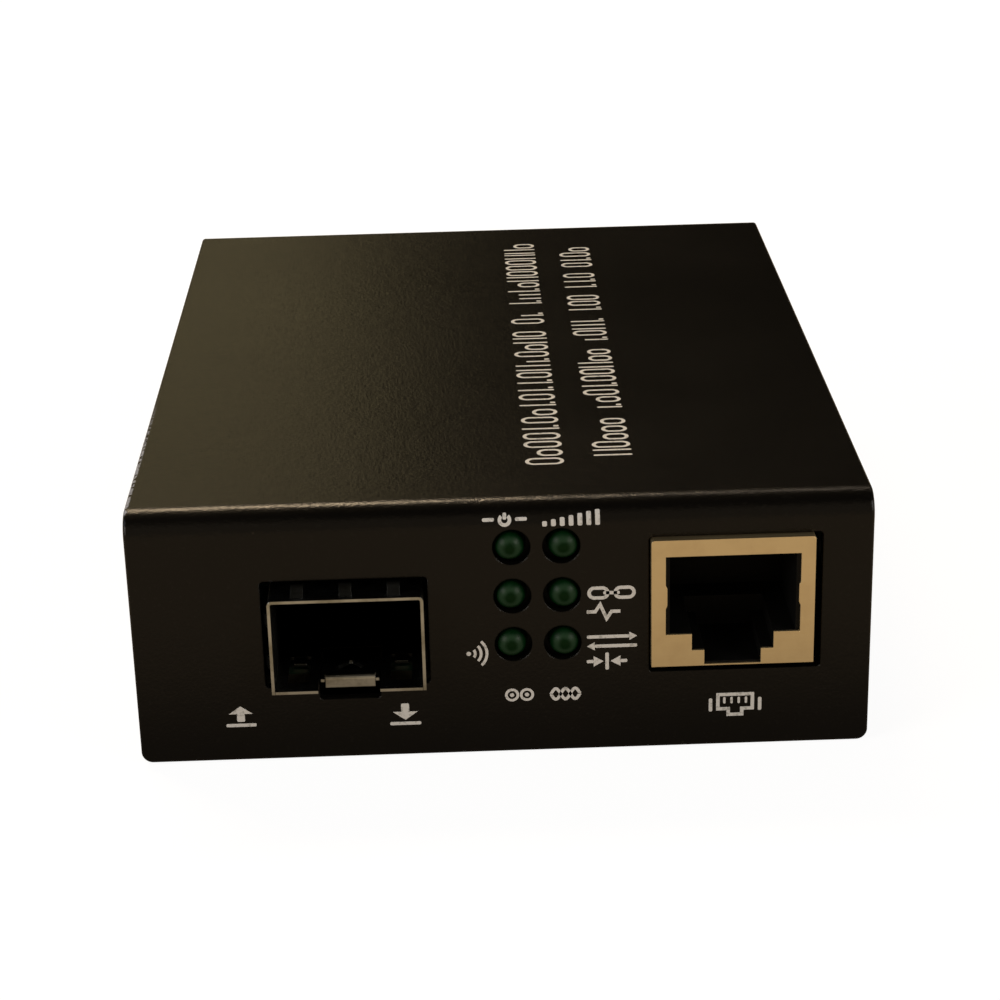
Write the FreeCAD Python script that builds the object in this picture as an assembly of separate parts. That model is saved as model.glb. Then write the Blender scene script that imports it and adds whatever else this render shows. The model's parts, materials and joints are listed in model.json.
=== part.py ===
import FreeCAD, Part
import math
import os

from FreeCAD import Vector

# A stand-alone fibre media converter, in millimetres.
# X runs to the right seen from the front, Y to the back and Z up.
# The origin is the middle of the underside, so the front panel is at negative Y.

# ---- case: two shells folded from steel sheet ----
case_width = 70.5
case_depth = 94.0
case_height = 26.0
sheet = 1.0
cover_fold = 2.4           # outside radius of the cover's two folds
tray_fold = 1.5            # and of the tray's
shell_gap = 0.1            # between the cover and the tray
flap_lift = 0.15           # the cover's flaps end this far above the underside
flap_corner = 1.1
edge_round = 0.35          # softened edge of the coated sheet
cutout_corner = 0.4

vent_count = 12
vent_pitch = 4.5
vent_width = 2.0
vent_length = 10.0

# ---- screws, brackets and standoffs ----
screw_radius = 1.5
thread_gap = 0.05          # left between a screw's thread and its nut or boss
screw_clearance = 0.2      # left around a screw in a plain hole
head_radius = 2.75
head_height = 1.5
head_round = 0.6
recess_width = 0.7
recess_span = 3.0
recess_depth = 0.9
side_screw_length = 4.0
side_screw_inset = 14.0    # from the front or rear face
side_screw_drop = 8.0      # below the top

bracket_width = 10.0
bracket_sheet = 1.0
bracket_fold = 0.5         # inside radius
bracket_top_leg = 7.0
bracket_below_screw = 4.0
collar_radius = 2.3
collar_height = 1.0

standoff_radius = 2.7
rivet_radius = 2.1         # clinched end in the tray
rivet_gap = 0.02
rivet_recess = 0.05        # the clinched end stays this far inside the underside
board_screw_length = 5.0
thread_runout = 0.5

# ---- circuit board ----
board_thickness = 1.6
board_corner = 1.0
lamp_headroom = 0.7        # from the lamp holder, the tallest part on the board, to the cover
board_side_gap = 0.8
board_front_gap = 2.0
board_rear_gap = 1.5
board_hole_side = 4.0      # from the board's side edge to a screw
board_hole_rear = 6.5
left_hole_front = 6.0
right_hole_front = 20.0
pin_gap = 0.12             # around each pin in its hole in the board
pin_below_board = 1.0

# ---- optical module cage ----
cage_x = -14.75
cage_width = 14.7
cage_height = 9.75
cage_length = 48.7
cage_sheet = 0.3
cage_corner = 0.5
cage_lift = 0.3            # above the board
cage_reach = 2.0           # in front of the front panel
cage_pin_count = 5
cage_pin_width = 0.6
cage_first_pin = 9.0
cage_back_gap = 1.0        # below the cage's back wall
cage_cutout_side = 0.57
cage_cutout_top = 1.18
cage_cutout_bottom = 0.25
cage_cutout_shift = -0.17  # from the cage's middle line to the cut-out's
cage_vent_radius = 0.9
cage_vent_pitch = 4.0
cage_vent_front = 10.6     # from the cage's front edge to the first row of holes
cage_vent_rear = 2.0       # at least this far from the last row to the cage's rear
floor_gap = 0.03
window_width = 2.05
window_front = 1.65
window_length = 5.85
window_middle = 4.93       # from the cage's middle line
tab_width = 1.3            # spring tab bent down from each window's rear edge
tab_length = 1.2

finger_width = 1.2
finger_pitch = 4.55
finger_sheet = 0.15
finger_length = 6.6
finger_back = 0.6          # from the cage's front edge to the fingers' roots
finger_fold = 0.5          # inside radius
finger_crest_front = 0.3   # the crest starts this far behind the panel's face
finger_crest_rear = 0.5    # and ends this far behind its back
finger_crest_gap = 0.2     # to the edge of the panel's cut-out
side_finger_pitch = 4.4

latch_width = 5.6
latch_root_back = 9.35     # from the cage's front edge to the tongue's root
latch_side_gap = 0.15
latch_root_gap = 0.05
latch_lip_width = 4.8
latch_lip_back = 3.15      # from the cage's front edge to the down-turned lip
latch_lip_height = 1.25
latch_lip_slit = 0.05      # between the lip and each shoulder
latch_shoulder = 0.7       # the tongue's two corners run on past the lip
latch_bend = 0.1           # inside radius of the lip's fold
latch_hole_front = 4.78    # from the cage's front edge to the triangle's base
latch_hole_width = 2.7
latch_hole_length = 1.6
latch_hole_round = 0.2
latch_hole_bevel = 0.2
latch_notch_depth = 1.65   # below the cage
latch_board_gap = 0.5

# ---- connector inside the cage ----
plug_width = 11.4
plug_depth = 8.8
plug_height = 5.8
plug_bevel = 0.4
plug_rear_gap = 2.6
plug_slot_width = 9.4
plug_slot_height = 1.5
plug_slot_depth = 5.4
plug_slot_middle = 3.5     # above the board
plug_contact_count = 10
plug_contact_pitch = 0.8
plug_contact_width = 0.3
plug_contact_sheet = 0.15
plug_contact_gap = 0.05    # around each contact in the body
plug_contact_start = 1.2   # behind the slot's mouth
plug_contact_rise = 0.5    # the upper contacts run this far above the slot
plug_contact_jog = 0.8     # and get there over this length
plug_contact_shift = 0.1   # the upper row to one side, the lower row to the other
plug_contact_dip = 0.2     # the lower contacts slope down by this much
plug_lower_drop = 2.0      # from the slot's rear to where the lower contacts turn down
plug_upper_drop = 0.4      # from the body's rear to where the upper contacts turn down
plug_tail = 1.0
plug_floor_gap = 1.0       # between the lower tails and the cage's floor

# ---- network jack ----
jack_x = 21.89
jack_width = 15.5
jack_height = 13.1
jack_depth = 16.0
jack_lift = 1.36           # shield above the board
jack_reach = 0.8           # in front of the front panel
jack_sheet = 0.25
jack_corner = 0.3
jack_fit = 0.05            # between shield and housing
jack_cutout_side = 0.5
jack_cutout_below = 0.88
jack_cutout_above = 0.14
jack_cutout_shift = 0.3
jack_foot_gap = 0.4        # housing's foot to the back of the front panel
jack_window_width = 12.8
jack_window_low = 3.35     # above the shield's lower edge
jack_window_height = 8.06
jack_step_width = 7.8
jack_step_low = 1.65
jack_slot_width = 5.4
jack_slot_low = 0.15
jack_step_back = 3.0       # the step and the slot end this far before the cavity does
jack_spring_height = 2.45  # side springs that narrow the window a little
jack_spring_bulge = 0.15
jack_spring_middle = 3.91  # above the window's lower edge
jack_spring_ramp = 0.35
jack_cavity_width = 12.0
jack_cavity_depth = 11.4
jack_contact_count = 8
jack_contact_pitch = 1.02
jack_contact_width = 0.4
jack_contact_sheet = 0.3
jack_contact_gap = 0.08
jack_contact_roof = 0.55   # above the cavity
jack_contact_front = 2.2   # from the housing's face to the hairpin
jack_contact_lead = 1.2    # the free arm starts this far behind the hairpin
jack_contact_dip = 0.35    # and this far below the cavity's roof
jack_tip_back = 1.6        # the arm's tip: before the cavity's rear
jack_tip_drop = 2.6        # and below its roof
jack_tail_back = 1.2       # from the cavity's rear to the first row of tails
jack_tail_stagger = 1.27
jack_peg_radius = 1.6
jack_peg_spread = 5.7
jack_peg_back = 9.0        # behind the shield's face
jack_leg_width = 1.2
jack_leg_back = 8.8        # behind the shield's face

# ---- indicator lamps ----
lamp_x = 3.37
lamp_rise = 8.92           # the middle row above the board
lamp_column_pitch = 5.08
lamp_hole_pitch = 4.7
lamp_row_pitch = 5.03
lamp_radius = 1.5
lamp_length = 5.3
lamp_flange_radius = 1.9
lamp_flange_height = 1.0
lamp_reach = 0.5           # in front of the front panel
lamp_hole_radius = 1.8
holder_gap = 0.5           # behind the front panel
holder_depth = 6.0
holder_wall = 0.6
holder_fit = 0.05
lead_spacing = 2.54
lead_size = 0.5
lead_fold = 0.4            # inside radius
lead_step = 2.0            # between the bends of neighbouring rows
lead_first_bend = 1.5      # behind the holder

# ---- power jack ----
power_x = 20.0
power_width = 9.0
power_height = 11.0
power_depth = 14.2
power_middle = 6.5         # bore's middle above the board
power_panel_gap = 0.3
power_flange_depth = 3.3
power_flange_round = 0.8
power_barrel_radius = 4.1
power_bore_radius = 3.15
power_bore_depth = 9.6
power_pin_radius = 1.0
power_pin_length = 9.0
power_pin_round = 0.3
power_shank_radius = 0.8   # the pin's riveted end in the wall
power_shank_gap = 0.02
power_hole_radius = 3.9
power_tab_width = 2.4
power_tab_sheet = 0.4
power_tab_fold = 0.3       # inside radius
power_tab_gap = 0.1        # around each lug in the body
power_pin_lug = 0.4        # the pin's lug: its middle from the jack's back, its top above the pin
power_spring_lug = 4.32    # from the jack's back to the spring's lug
power_spring_sink = 0.45   # the spring's root lies this far below the bore
power_spring_crest = 0.9   # it rises this far at its middle
power_spring_tip = 0.6     # and this far at its tip
power_spring_front = 1.5   # from the jack's face to the spring's tip
power_spring_middle = 4.8  # from the jack's face to its middle

# ---- parts soldered on the board ----
transformer_width = 15.0
transformer_depth = 7.2
transformer_height = 5.6
transformer_lead_count = 12
transformer_lead_pitch = 1.27
transformer_lead_width = 0.45
transformer_lead_sheet = 0.25
transformer_lead_reach = 1.5
transformer_lead_knee = 0.6
transformer_lead_rise = 2.2
transformer_shift = -4.0   # from the network jack's middle line
switch_chip_size = 12.0
phy_chip_size = 9.0
flat_chip_height = 0.9
memory_width = 5.0
memory_depth = 4.0
memory_height = 1.5
regulator_width = 6.5
regulator_depth = 5.0
regulator_height = 1.6
crystal_width = 11.0
crystal_depth = 4.6
crystal_height = 3.4
can_radius = 3.15
can_height = 6.6
can_round = 0.4
can_base_height = 1.1
can_base_margin = 0.2
can_pitch = 8.4
coil_size = 7.0
coil_height = 3.2
coil_corner = 1.4
coil_dish_radius = 2.45
coil_dish_depth = 0.3
fuse_width = 4.6
fuse_depth = 3.2
fuse_height = 1.4
diode_width = 4.4
diode_depth = 2.6
diode_height = 2.1
small_part_width = 2.0
small_part_depth = 1.25
small_part_height = 0.8
small_part_pitch = 2.4
small_part_count = 4
part_gap = 2.0             # between neighbours on the board
small_gap = 0.8            # between a chip and its row of small parts
part_bevel = 0.15

weld = 0.1                 # how far shapes that become one piece run into each other
past = 1.0                 # how far a cut runs past what it cuts
near = 0.01                # how closely an edge is found by its place
same_point = 1e-6          # points nearer than this are one point
no_turn = 1e-9             # a fold with a smaller sine is straight

# ---- places that follow from the sizes ----
front = -case_depth / 2
rear = case_depth / 2
side = case_width / 2
inner_front = front + sheet
inner_rear = rear - sheet
inner_side = side - sheet
inner_top = case_height - sheet
vent_middle = case_height / 2

holder_rise = lamp_rise + lamp_row_pitch + lamp_flange_radius + holder_fit + holder_wall
board_top = inner_top - lamp_headroom - holder_rise
board_low = board_top - board_thickness
standoff_height = board_low - sheet
lamp_z = board_top + lamp_rise
board_side = inner_side - board_side_gap
board_front = inner_front + board_front_gap
board_rear = inner_rear - board_rear_gap
pin_end = board_low - pin_below_board

screw_z = case_height - side_screw_drop
board_holes = [
    (-board_side + board_hole_side, board_front + left_hole_front),
    (board_side - board_hole_side, board_front + right_hole_front),
    (-board_side + board_hole_side, board_rear - board_hole_rear),
    (board_side - board_hole_side, board_rear - board_hole_rear),
]

cage_low = board_top + cage_lift
cage_high = cage_low + cage_height
cage_front = front - cage_reach
cage_rear = cage_front + cage_length
cage_pin_pitch = (cage_length - cage_first_pin - 2 * cage_pin_width) / cage_pin_count
latch_root = cage_front + latch_root_back
tab_drop = cage_lift / 2   # the tabs stay clear of the board
latch_notch_width = latch_width + 2 * latch_side_gap
plug_rear = cage_rear - cage_sheet - plug_rear_gap
plug_front = plug_rear - plug_depth

jack_low = board_top + jack_lift
jack_high = jack_low + jack_height
jack_front = front - jack_reach
jack_rear = jack_front + jack_depth
housing_side = jack_width / 2 - jack_sheet - jack_fit
housing_high = jack_high - jack_sheet - jack_fit
housing_front = jack_front + jack_sheet + jack_fit
housing_rear = jack_rear - jack_sheet - jack_fit
cavity_low = jack_low + jack_window_low
cavity_high = cavity_low + jack_window_height
cavity_rear = housing_front + jack_cavity_depth

lamp_tip = front - lamp_reach
lamp_back = lamp_tip + lamp_length
holder_front = inner_front + holder_gap
holder_rear = holder_front + holder_depth

power_front = inner_rear - power_panel_gap
power_back = power_front - power_depth
power_z = board_top + power_middle
bore_floor = power_front - power_bore_depth

transformer_x = jack_x + transformer_shift
transformer_y = jack_rear + part_gap + transformer_lead_reach + transformer_depth / 2
phy_y = transformer_y + transformer_depth / 2 + transformer_lead_reach + part_gap + phy_chip_size / 2
crystal_y = phy_y + phy_chip_size / 2 + part_gap + crystal_depth / 2
last_bend = holder_rear + lead_first_bend + 2 * lead_step
switch_y = last_bend + part_gap + switch_chip_size / 2
memory_y = switch_y + switch_chip_size / 2 + small_gap + small_part_depth + part_gap + memory_depth / 2
power_row_y = power_front - power_depth / 2
fuse_x = power_x - power_width / 2 - part_gap - fuse_width / 2
can_x = fuse_x - fuse_width / 2 - part_gap - can_radius
coil_x = can_x - can_pitch - can_radius - part_gap - coil_size / 2
regulator_y = power_row_y - coil_size / 2 - part_gap - regulator_depth / 2


# ---- helpers ----
def box(x_low, x_high, y_low, y_high, z_low, z_high):
    corner = Vector(x_low, y_low, z_low)
    return Part.makeBox(x_high - x_low, y_high - y_low, z_high - z_low, corner)


def rod(point, direction, radius, length):
    return Part.makeCylinder(radius, length, Vector(*point), Vector(*direction))


def placed(plane, level, point):
    # A flat point on a plane square to X, Y or Z, at the given level along that axis.
    a, b = point
    if plane == "x":
        return Vector(level, a, b)
    if plane == "y":
        return Vector(a, level, b)
    return Vector(a, b, level)


def unit(start, end):
    length = math.hypot(end[0] - start[0], end[1] - start[1])
    return (end[0] - start[0]) / length, (end[1] - start[1]) / length


def corner_arc(before, corner, after, radius):
    # The start, middle and end of the arc that rounds one corner of an outline.
    back = unit(corner, before)
    on = unit(corner, after)
    half = math.acos(back[0] * on[0] + back[1] * on[1]) / 2
    run = radius / math.tan(half)
    inward = unit((0, 0), (back[0] + on[0], back[1] + on[1]))
    reach = radius / math.sin(half) - radius
    return [
        (corner[0] + back[0] * run, corner[1] + back[1] * run),
        (corner[0] + inward[0] * reach, corner[1] + inward[1] * reach),
        (corner[0] + on[0] * run, corner[1] + on[1] * run),
    ]


def prism(plane, low, high, outline, radii=None):
    # A closed outline, each corner sharp or with its own radius, drawn from low to high.
    radii = radii or [0] * len(outline)
    stops = []
    for i, corner in enumerate(outline):
        if radii[i] > 0:
            after = outline[(i + 1) % len(outline)]
            stops.append(corner_arc(outline[i - 1], corner, after, radii[i]))
        else:
            stops.append([corner])
    edges = []
    for i, stop in enumerate(stops):
        points = [placed(plane, low, point) for point in stop]
        if len(points) == 3:
            edges.append(Part.Arc(*points).toShape())
        next_start = placed(plane, low, stops[(i + 1) % len(stops)][0])
        if points[-1].distanceToPoint(next_start) > same_point:
            edges.append(Part.LineSegment(points[-1], next_start).toShape())
    face = Part.Face(Part.Wire(edges))
    return face.extrude(placed(plane, high, (0, 0)) - placed(plane, low, (0, 0)))


def bent_strip(plane, low, high, path, thickness, inside_radius=0.0):
    # A strip of sheet whose middle line follows the path, with a radius at each fold.
    normals = []
    for start, end in zip(path, path[1:]):
        along = unit(start, end)
        normals.append((-along[1], along[0]))
    left = []
    right = []
    left_radii = []
    right_radii = []
    for i, point in enumerate(path):
        before = normals[max(i - 1, 0)]
        after = normals[min(i, len(normals) - 1)]
        mitre = unit((0, 0), (before[0] + after[0], before[1] + after[1]))
        reach = thickness / 2 / (mitre[0] * after[0] + mitre[1] * after[1])
        left.append((point[0] + mitre[0] * reach, point[1] + mitre[1] * reach))
        right.append((point[0] - mitre[0] * reach, point[1] - mitre[1] * reach))
        turn = before[0] * after[1] - before[1] * after[0]
        outer = inside_radius + thickness if inside_radius > 0 else 0
        turns_left = turn > no_turn
        turns_right = turn < -no_turn
        left_radii.append(inside_radius if turns_left else outer if turns_right else 0)
        right_radii.append(outer if turns_left else inside_radius if turns_right else 0)
    outline = left + right[::-1]
    return prism(plane, low, high, outline, left_radii + right_radii[::-1])


def rounded_box(plane, low, high, a_low, a_high, b_low, b_high, radius):
    outline = [(a_low, b_low), (a_high, b_low), (a_high, b_high), (a_low, b_high)]
    return prism(plane, low, high, outline, [radius] * 4)


def joined(shapes):
    result = shapes[0].fuse(shapes[1:])
    return result.removeSplitter()


def soften(shape, radius, chosen):
    return shape.makeFillet(radius, [edge for edge in shape.Edges if chosen(edge.BoundBox)])


def low_part(x, y, width, depth, height):
    # A moulded or metal block soldered flat on the board, its top edges slightly bevelled.
    body = box(x - width / 2, x + width / 2, y - depth / 2, y + depth / 2, board_top, board_top + height)
    top = [edge for edge in body.Edges if edge.BoundBox.ZMin > board_top + height - near]
    return body.makeChamfer(part_bevel, top)


# ---- case ----
def lamp_places(column_pitch):
    places = {}
    for row, height in (("top", 1), ("middle", 0), ("bottom", -1)):
        for column, across in (("left", -0.5), ("right", 0.5)):
            x = lamp_x + across * column_pitch
            z = lamp_z + height * lamp_row_pitch
            places["lamp_%s_%s" % (row, column)] = (x, z)
    return places


def front_openings():
    through = (front - past, inner_front + past)
    cage_half = cage_width / 2 + cage_cutout_side
    cage_middle = cage_x + cage_cutout_shift
    cuts = [rounded_box("y", *through, cage_middle - cage_half, cage_middle + cage_half,
                        cage_low - cage_cutout_bottom, cage_high + cage_cutout_top, cutout_corner)]
    notch_half = latch_notch_width / 2
    cuts.append(rounded_box("y", *through, cage_x - notch_half, cage_x + notch_half,
                            cage_low - latch_notch_depth, cage_low + past, cutout_corner))
    jack_half = jack_width / 2 + jack_cutout_side
    jack_middle = jack_x + jack_cutout_shift
    cuts.append(rounded_box("y", *through, jack_middle - jack_half, jack_middle + jack_half,
                            jack_low - jack_cutout_below, jack_high + jack_cutout_above, cutout_corner))
    for x, z in lamp_places(lamp_hole_pitch).values():
        cuts.append(rod((x, front - past, z), (0, 1, 0), lamp_hole_radius, sheet + 2 * past))
    return cuts


def top_cover():
    middle_front = front + sheet / 2
    middle_rear = rear - sheet / 2
    middle_top = case_height - sheet / 2
    path = [(middle_front, flap_lift), (middle_front, middle_top), (middle_rear, middle_top)]
    path.append((middle_rear, flap_lift))
    shell = bent_strip("x", -side, side, path, sheet, cover_fold - sheet)
    outline = [(-side, flap_lift), (side, flap_lift), (side, case_height), (-side, case_height)]
    shell = shell.common(prism("y", front, rear, outline, [flap_corner, flap_corner, 0, 0]))

    def on_outer_rim(bound):
        outer = bound.YMax < front + near or bound.YMin > rear - near or bound.ZMax > case_height - near
        at_side = bound.XLength < near
        along_bottom = bound.YLength < near and bound.ZMax < flap_lift + flap_corner + near
        return outer and (at_side or along_bottom)

    shell = soften(shell, edge_round, on_outer_rim)
    power_hole = rod((power_x, inner_rear - past, power_z), (0, 1, 0), power_hole_radius, sheet + 2 * past)
    return shell.cut(front_openings() + [power_hole])


def base_tray():
    middle_side = side - sheet / 2
    wall_top = inner_top - shell_gap
    path = [(-middle_side, wall_top), (-middle_side, sheet / 2), (middle_side, sheet / 2)]
    path.append((middle_side, wall_top))
    front_end = inner_front + shell_gap
    rear_end = inner_rear - shell_gap
    tray = bent_strip("y", front_end, rear_end, path, sheet, tray_fold - sheet)
    outline = [(front_end, 0), (rear_end, 0), (rear_end, wall_top), (front_end, wall_top)]
    tray = tray.common(prism("x", -side, side, outline, [0, 0, cover_fold, cover_fold]))
    cuts = []
    for i in range(vent_count):
        y = (i - (vent_count - 1) / 2) * vent_pitch
        cuts.append(rounded_box("x", -side - past, side + past, y - vent_width / 2, y + vent_width / 2,
                                vent_middle - vent_length / 2, vent_middle + vent_length / 2, vent_width / 2))
    for y in (front + side_screw_inset, rear - side_screw_inset):
        cuts.append(rod((-side - past, y, screw_z), (1, 0, 0), screw_radius + screw_clearance,
                        case_width + 2 * past))
    for x, y in board_holes:
        cuts.append(rod((x, y, -past), (0, 0, 1), rivet_radius + rivet_gap, sheet + 2 * past))
    return tray.cut(cuts)


def screw(length):
    # A pan-head screw on the Z axis, its head's seat at zero and its shank below.
    head = rod((0, 0, 0), (0, 0, 1), head_radius, head_height)
    head = soften(head, head_round, lambda bound: bound.ZMin > head_height - near)
    shank = rod((0, 0, -length), (0, 0, 1), screw_radius - thread_gap, length)
    body = joined([head, shank])
    low = head_height - recess_depth
    half = recess_span / 2
    thin = recess_width / 2
    cross = [box(-half, half, -thin, thin, low, head_height + past)]
    cross.append(box(-thin, thin, -half, half, low, head_height + past))
    return body.cut(cross)


def cover_screws():
    screws = []
    for hand in (-1, 1):
        for y in (front + side_screw_inset, rear - side_screw_inset):
            piece = screw(side_screw_length)
            piece.rotate(Vector(0, 0, 0), Vector(0, 1, 0), 90 * hand)
            piece.translate(Vector(side * hand, y, screw_z))
            screws.append(piece)
    return screws


def cover_brackets():
    # Angles welded under the cover's top, each with a tapped collar for a side screw.
    brackets = []
    for hand in (-1, 1):
        outside = inner_side - shell_gap - bracket_sheet / 2
        low = screw_z - bracket_below_screw
        top = inner_top - bracket_sheet / 2
        path = [(hand * outside, low), (hand * outside, top), (hand * (outside - bracket_top_leg), top)]
        for y in (front + side_screw_inset, rear - side_screw_inset):
            angle = bent_strip("y", y - bracket_width / 2, y + bracket_width / 2, path, bracket_sheet,
                               bracket_fold)
            wall = hand * (outside - bracket_sheet / 2)
            collar = rod((wall, y, screw_z), (-hand, 0, 0), collar_radius, collar_height)
            bore = rod((hand * side, y, screw_z), (-hand, 0, 0), screw_radius, 2 * side_screw_length)
            brackets.append(joined([angle, collar]).cut(bore))
    return brackets


def board_standoffs():
    posts = []
    for x, y in board_holes:
        post = rod((x, y, sheet), (0, 0, 1), standoff_radius, standoff_height)
        rivet = rod((x, y, rivet_recess), (0, 0, 1), rivet_radius, sheet - rivet_recess)
        thread = board_screw_length - board_thickness + thread_runout
        bore = rod((x, y, board_low - thread), (0, 0, 1), screw_radius, thread + past)
        posts.append(joined([post, rivet]).cut(bore))
    return posts


def board_screws():
    screws = []
    for x, y in board_holes:
        piece = screw(board_screw_length)
        piece.translate(Vector(x, y, board_top))
        screws.append(piece)
    return screws


# ---- circuit board ----
def jack_pin_places():
    places = []
    for i in range(jack_contact_count):
        x = jack_x + (i - (jack_contact_count - 1) / 2) * jack_contact_pitch
        y = contact_drop_y(i)
        places.append((x, y))
    return places


def contact_drop_y(i):
    # The tails leave the housing in two staggered rows.
    return cavity_rear + jack_tail_back + (i % 2) * jack_tail_stagger


def cage_pin_places():
    x = cage_width / 2 - cage_sheet / 2
    ys = [cage_front + cage_first_pin + i * cage_pin_pitch for i in range(cage_pin_count)]
    return [(cage_x + hand * x, y) for hand in (-1, 1) for y in ys]


def lead_rows():
    # Each lamp's lead pair: its middle, its height and where it bends down behind the holder.
    rows = []
    for name, (x, z) in lamp_places(lamp_column_pitch).items():
        step = {"bottom": 0, "middle": 1, "top": 2}[name.split("_")[1]]
        rows.append((x, z, holder_rear + lead_first_bend + step * lead_step))
    return rows


def jack_leg_places():
    x = jack_width / 2 - jack_sheet / 2
    y = jack_front + jack_leg_back
    return [(jack_x - x, y), (jack_x + x, y)]


def power_tab_places():
    # Across, and along the jack: the pin's lug and the spring's lug.
    return [(power_x, power_back + power_pin_lug), (power_x, power_back + power_spring_lug)]


def board_cuts():
    low = board_low - past
    height = board_thickness + 2 * past
    cuts = [rod((x, y, low), (0, 0, 1), screw_radius + screw_clearance, height) for x, y in board_holes]
    half_diagonal = math.hypot(jack_contact_width, jack_contact_sheet) / 2 + pin_gap
    cuts += [rod((x, y, low), (0, 0, 1), half_diagonal, height) for x, y in jack_pin_places()]
    half_diagonal = math.hypot(cage_pin_width, cage_sheet) / 2 + pin_gap
    cuts += [rod((x, y, low), (0, 0, 1), half_diagonal, height) for x, y in cage_pin_places()]
    half_diagonal = lead_size * math.sqrt(0.5) + pin_gap
    for x, z, y in lead_rows():
        for lead_x in (x - lead_spacing / 2, x + lead_spacing / 2):
            cuts.append(rod((lead_x, y, low), (0, 0, 1), half_diagonal, height))
    for hand in (-1, 1):
        peg_x = jack_x + hand * jack_peg_spread
        peg_y = jack_front + jack_peg_back
        cuts.append(rod((peg_x, peg_y, low), (0, 0, 1), jack_peg_radius + pin_gap, height))
    half = jack_leg_width / 2 + pin_gap
    thin = jack_sheet / 2 + pin_gap
    for x, y in jack_leg_places():
        cuts.append(box(x - thin, x + thin, y - half, y + half, low, low + height))
    half = power_tab_width / 2 + pin_gap
    thin = power_tab_sheet / 2 + pin_gap
    for x, y in power_tab_places():
        cuts.append(box(x - half, x + half, y - thin, y + thin, low, low + height))
    notch = latch_notch_width / 2 + latch_board_gap
    notch_rear = latch_root + latch_board_gap
    cuts.append(box(cage_x - notch, cage_x + notch, board_front - past, notch_rear, low, low + height))
    return cuts


def circuit_board():
    board = rounded_box("z", board_low, board_top, -board_side, board_side, board_front, board_rear,
                        board_corner)
    return board.cut(board_cuts())


# ---- optical module cage ----
def spring_fingers():
    # Narrow springs lanced from the cage, bowed out towards the edge of the panel's cut-out.
    start = cage_front + finger_back
    end = start + finger_length
    crest_start = front + finger_crest_front
    crest_end = inner_front + finger_crest_rear
    crest_top = cage_high + cage_cutout_top - finger_crest_gap - finger_sheet / 2
    path = [(start, cage_high - cage_sheet / 2), (crest_start, crest_top), (crest_end, crest_top)]
    path.append((end, cage_high + finger_sheet))
    half = finger_width / 2
    fingers = []
    for i in (-1, 0, 1):
        x = cage_x + i * finger_pitch
        fingers.append(bent_strip("x", x - half, x + half, path, finger_sheet, finger_fold))
    wall = cage_width / 2
    for hand in (-1, 1):
        crest_side = wall + cage_cutout_side + hand * cage_cutout_shift - finger_crest_gap - finger_sheet / 2
        path = [(cage_x + hand * (wall - cage_sheet / 2), start), (cage_x + hand * crest_side, crest_start)]
        path.append((cage_x + hand * crest_side, crest_end))
        path.append((cage_x + hand * (wall + finger_sheet), end))
        for i in (-0.5, 0.5):
            z = (cage_low + cage_high) / 2 + i * side_finger_pitch
            fingers.append(bent_strip("z", z - half, z + half, path, finger_sheet, finger_fold))
    return fingers


def sfp_cage():
    middle_side = cage_width / 2 - cage_sheet / 2
    middle_top = cage_high - cage_sheet / 2
    path = [(cage_x - middle_side, cage_low), (cage_x - middle_side, middle_top)]
    path += [(cage_x + middle_side, middle_top), (cage_x + middle_side, cage_low)]
    shell = bent_strip("y", cage_front, cage_rear, path, cage_sheet, cage_corner - cage_sheet)
    inner = cage_width / 2 - cage_sheet
    back = box(cage_x - inner, cage_x + inner, cage_rear - cage_sheet, cage_rear,
               cage_low + cage_back_gap, cage_high - cage_sheet)
    pieces = [shell, back] + spring_fingers()
    for x, y in cage_pin_places():
        pieces.append(box(x - cage_sheet / 2, x + cage_sheet / 2, y - cage_pin_width / 2,
                          y + cage_pin_width / 2, pin_end, cage_low + weld))
    cage = joined(pieces)
    vents = []
    vent_rows = int((cage_length - cage_vent_front - cage_vent_rear) / cage_vent_pitch)
    for row in range(vent_rows):
        for column in (-1, 0, 1):
            x = cage_x + column * cage_vent_pitch
            y = cage_front + cage_vent_front + row * cage_vent_pitch
            vents.append(rod((x, y, cage_high - past), (0, 0, 1), cage_vent_radius, 2 * past))
    return cage.cut(vents)


def sfp_cage_floor():
    half = cage_width / 2 - cage_sheet - floor_gap
    end = plug_front - plug_tail - plug_floor_gap
    top = cage_low + cage_sheet
    floor = box(cage_x - half, cage_x + half, cage_front, end, cage_low, top)
    slot = latch_notch_width / 2
    slot_end = latch_root + latch_root_gap
    cuts = [box(cage_x - slot, cage_x + slot, cage_front - past, slot_end, cage_low - past, top + past)]
    tabs = []
    window_rear = cage_front + window_front + window_length
    middle = cage_low + cage_sheet / 2
    path = [(window_rear + weld, middle), (window_rear - tab_length / 2, middle - tab_drop / 2)]
    path.append((window_rear - tab_length, middle - tab_drop))
    for hand in (-1, 1):
        x = cage_x + hand * window_middle
        cuts.append(box(x - window_width / 2, x + window_width / 2, cage_front + window_front,
                        window_rear, cage_low - past, top + past))
        tabs.append(bent_strip("x", x - tab_width / 2, x + tab_width / 2, path, cage_sheet))
    return joined([floor.cut(cuts)] + tabs)


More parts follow.
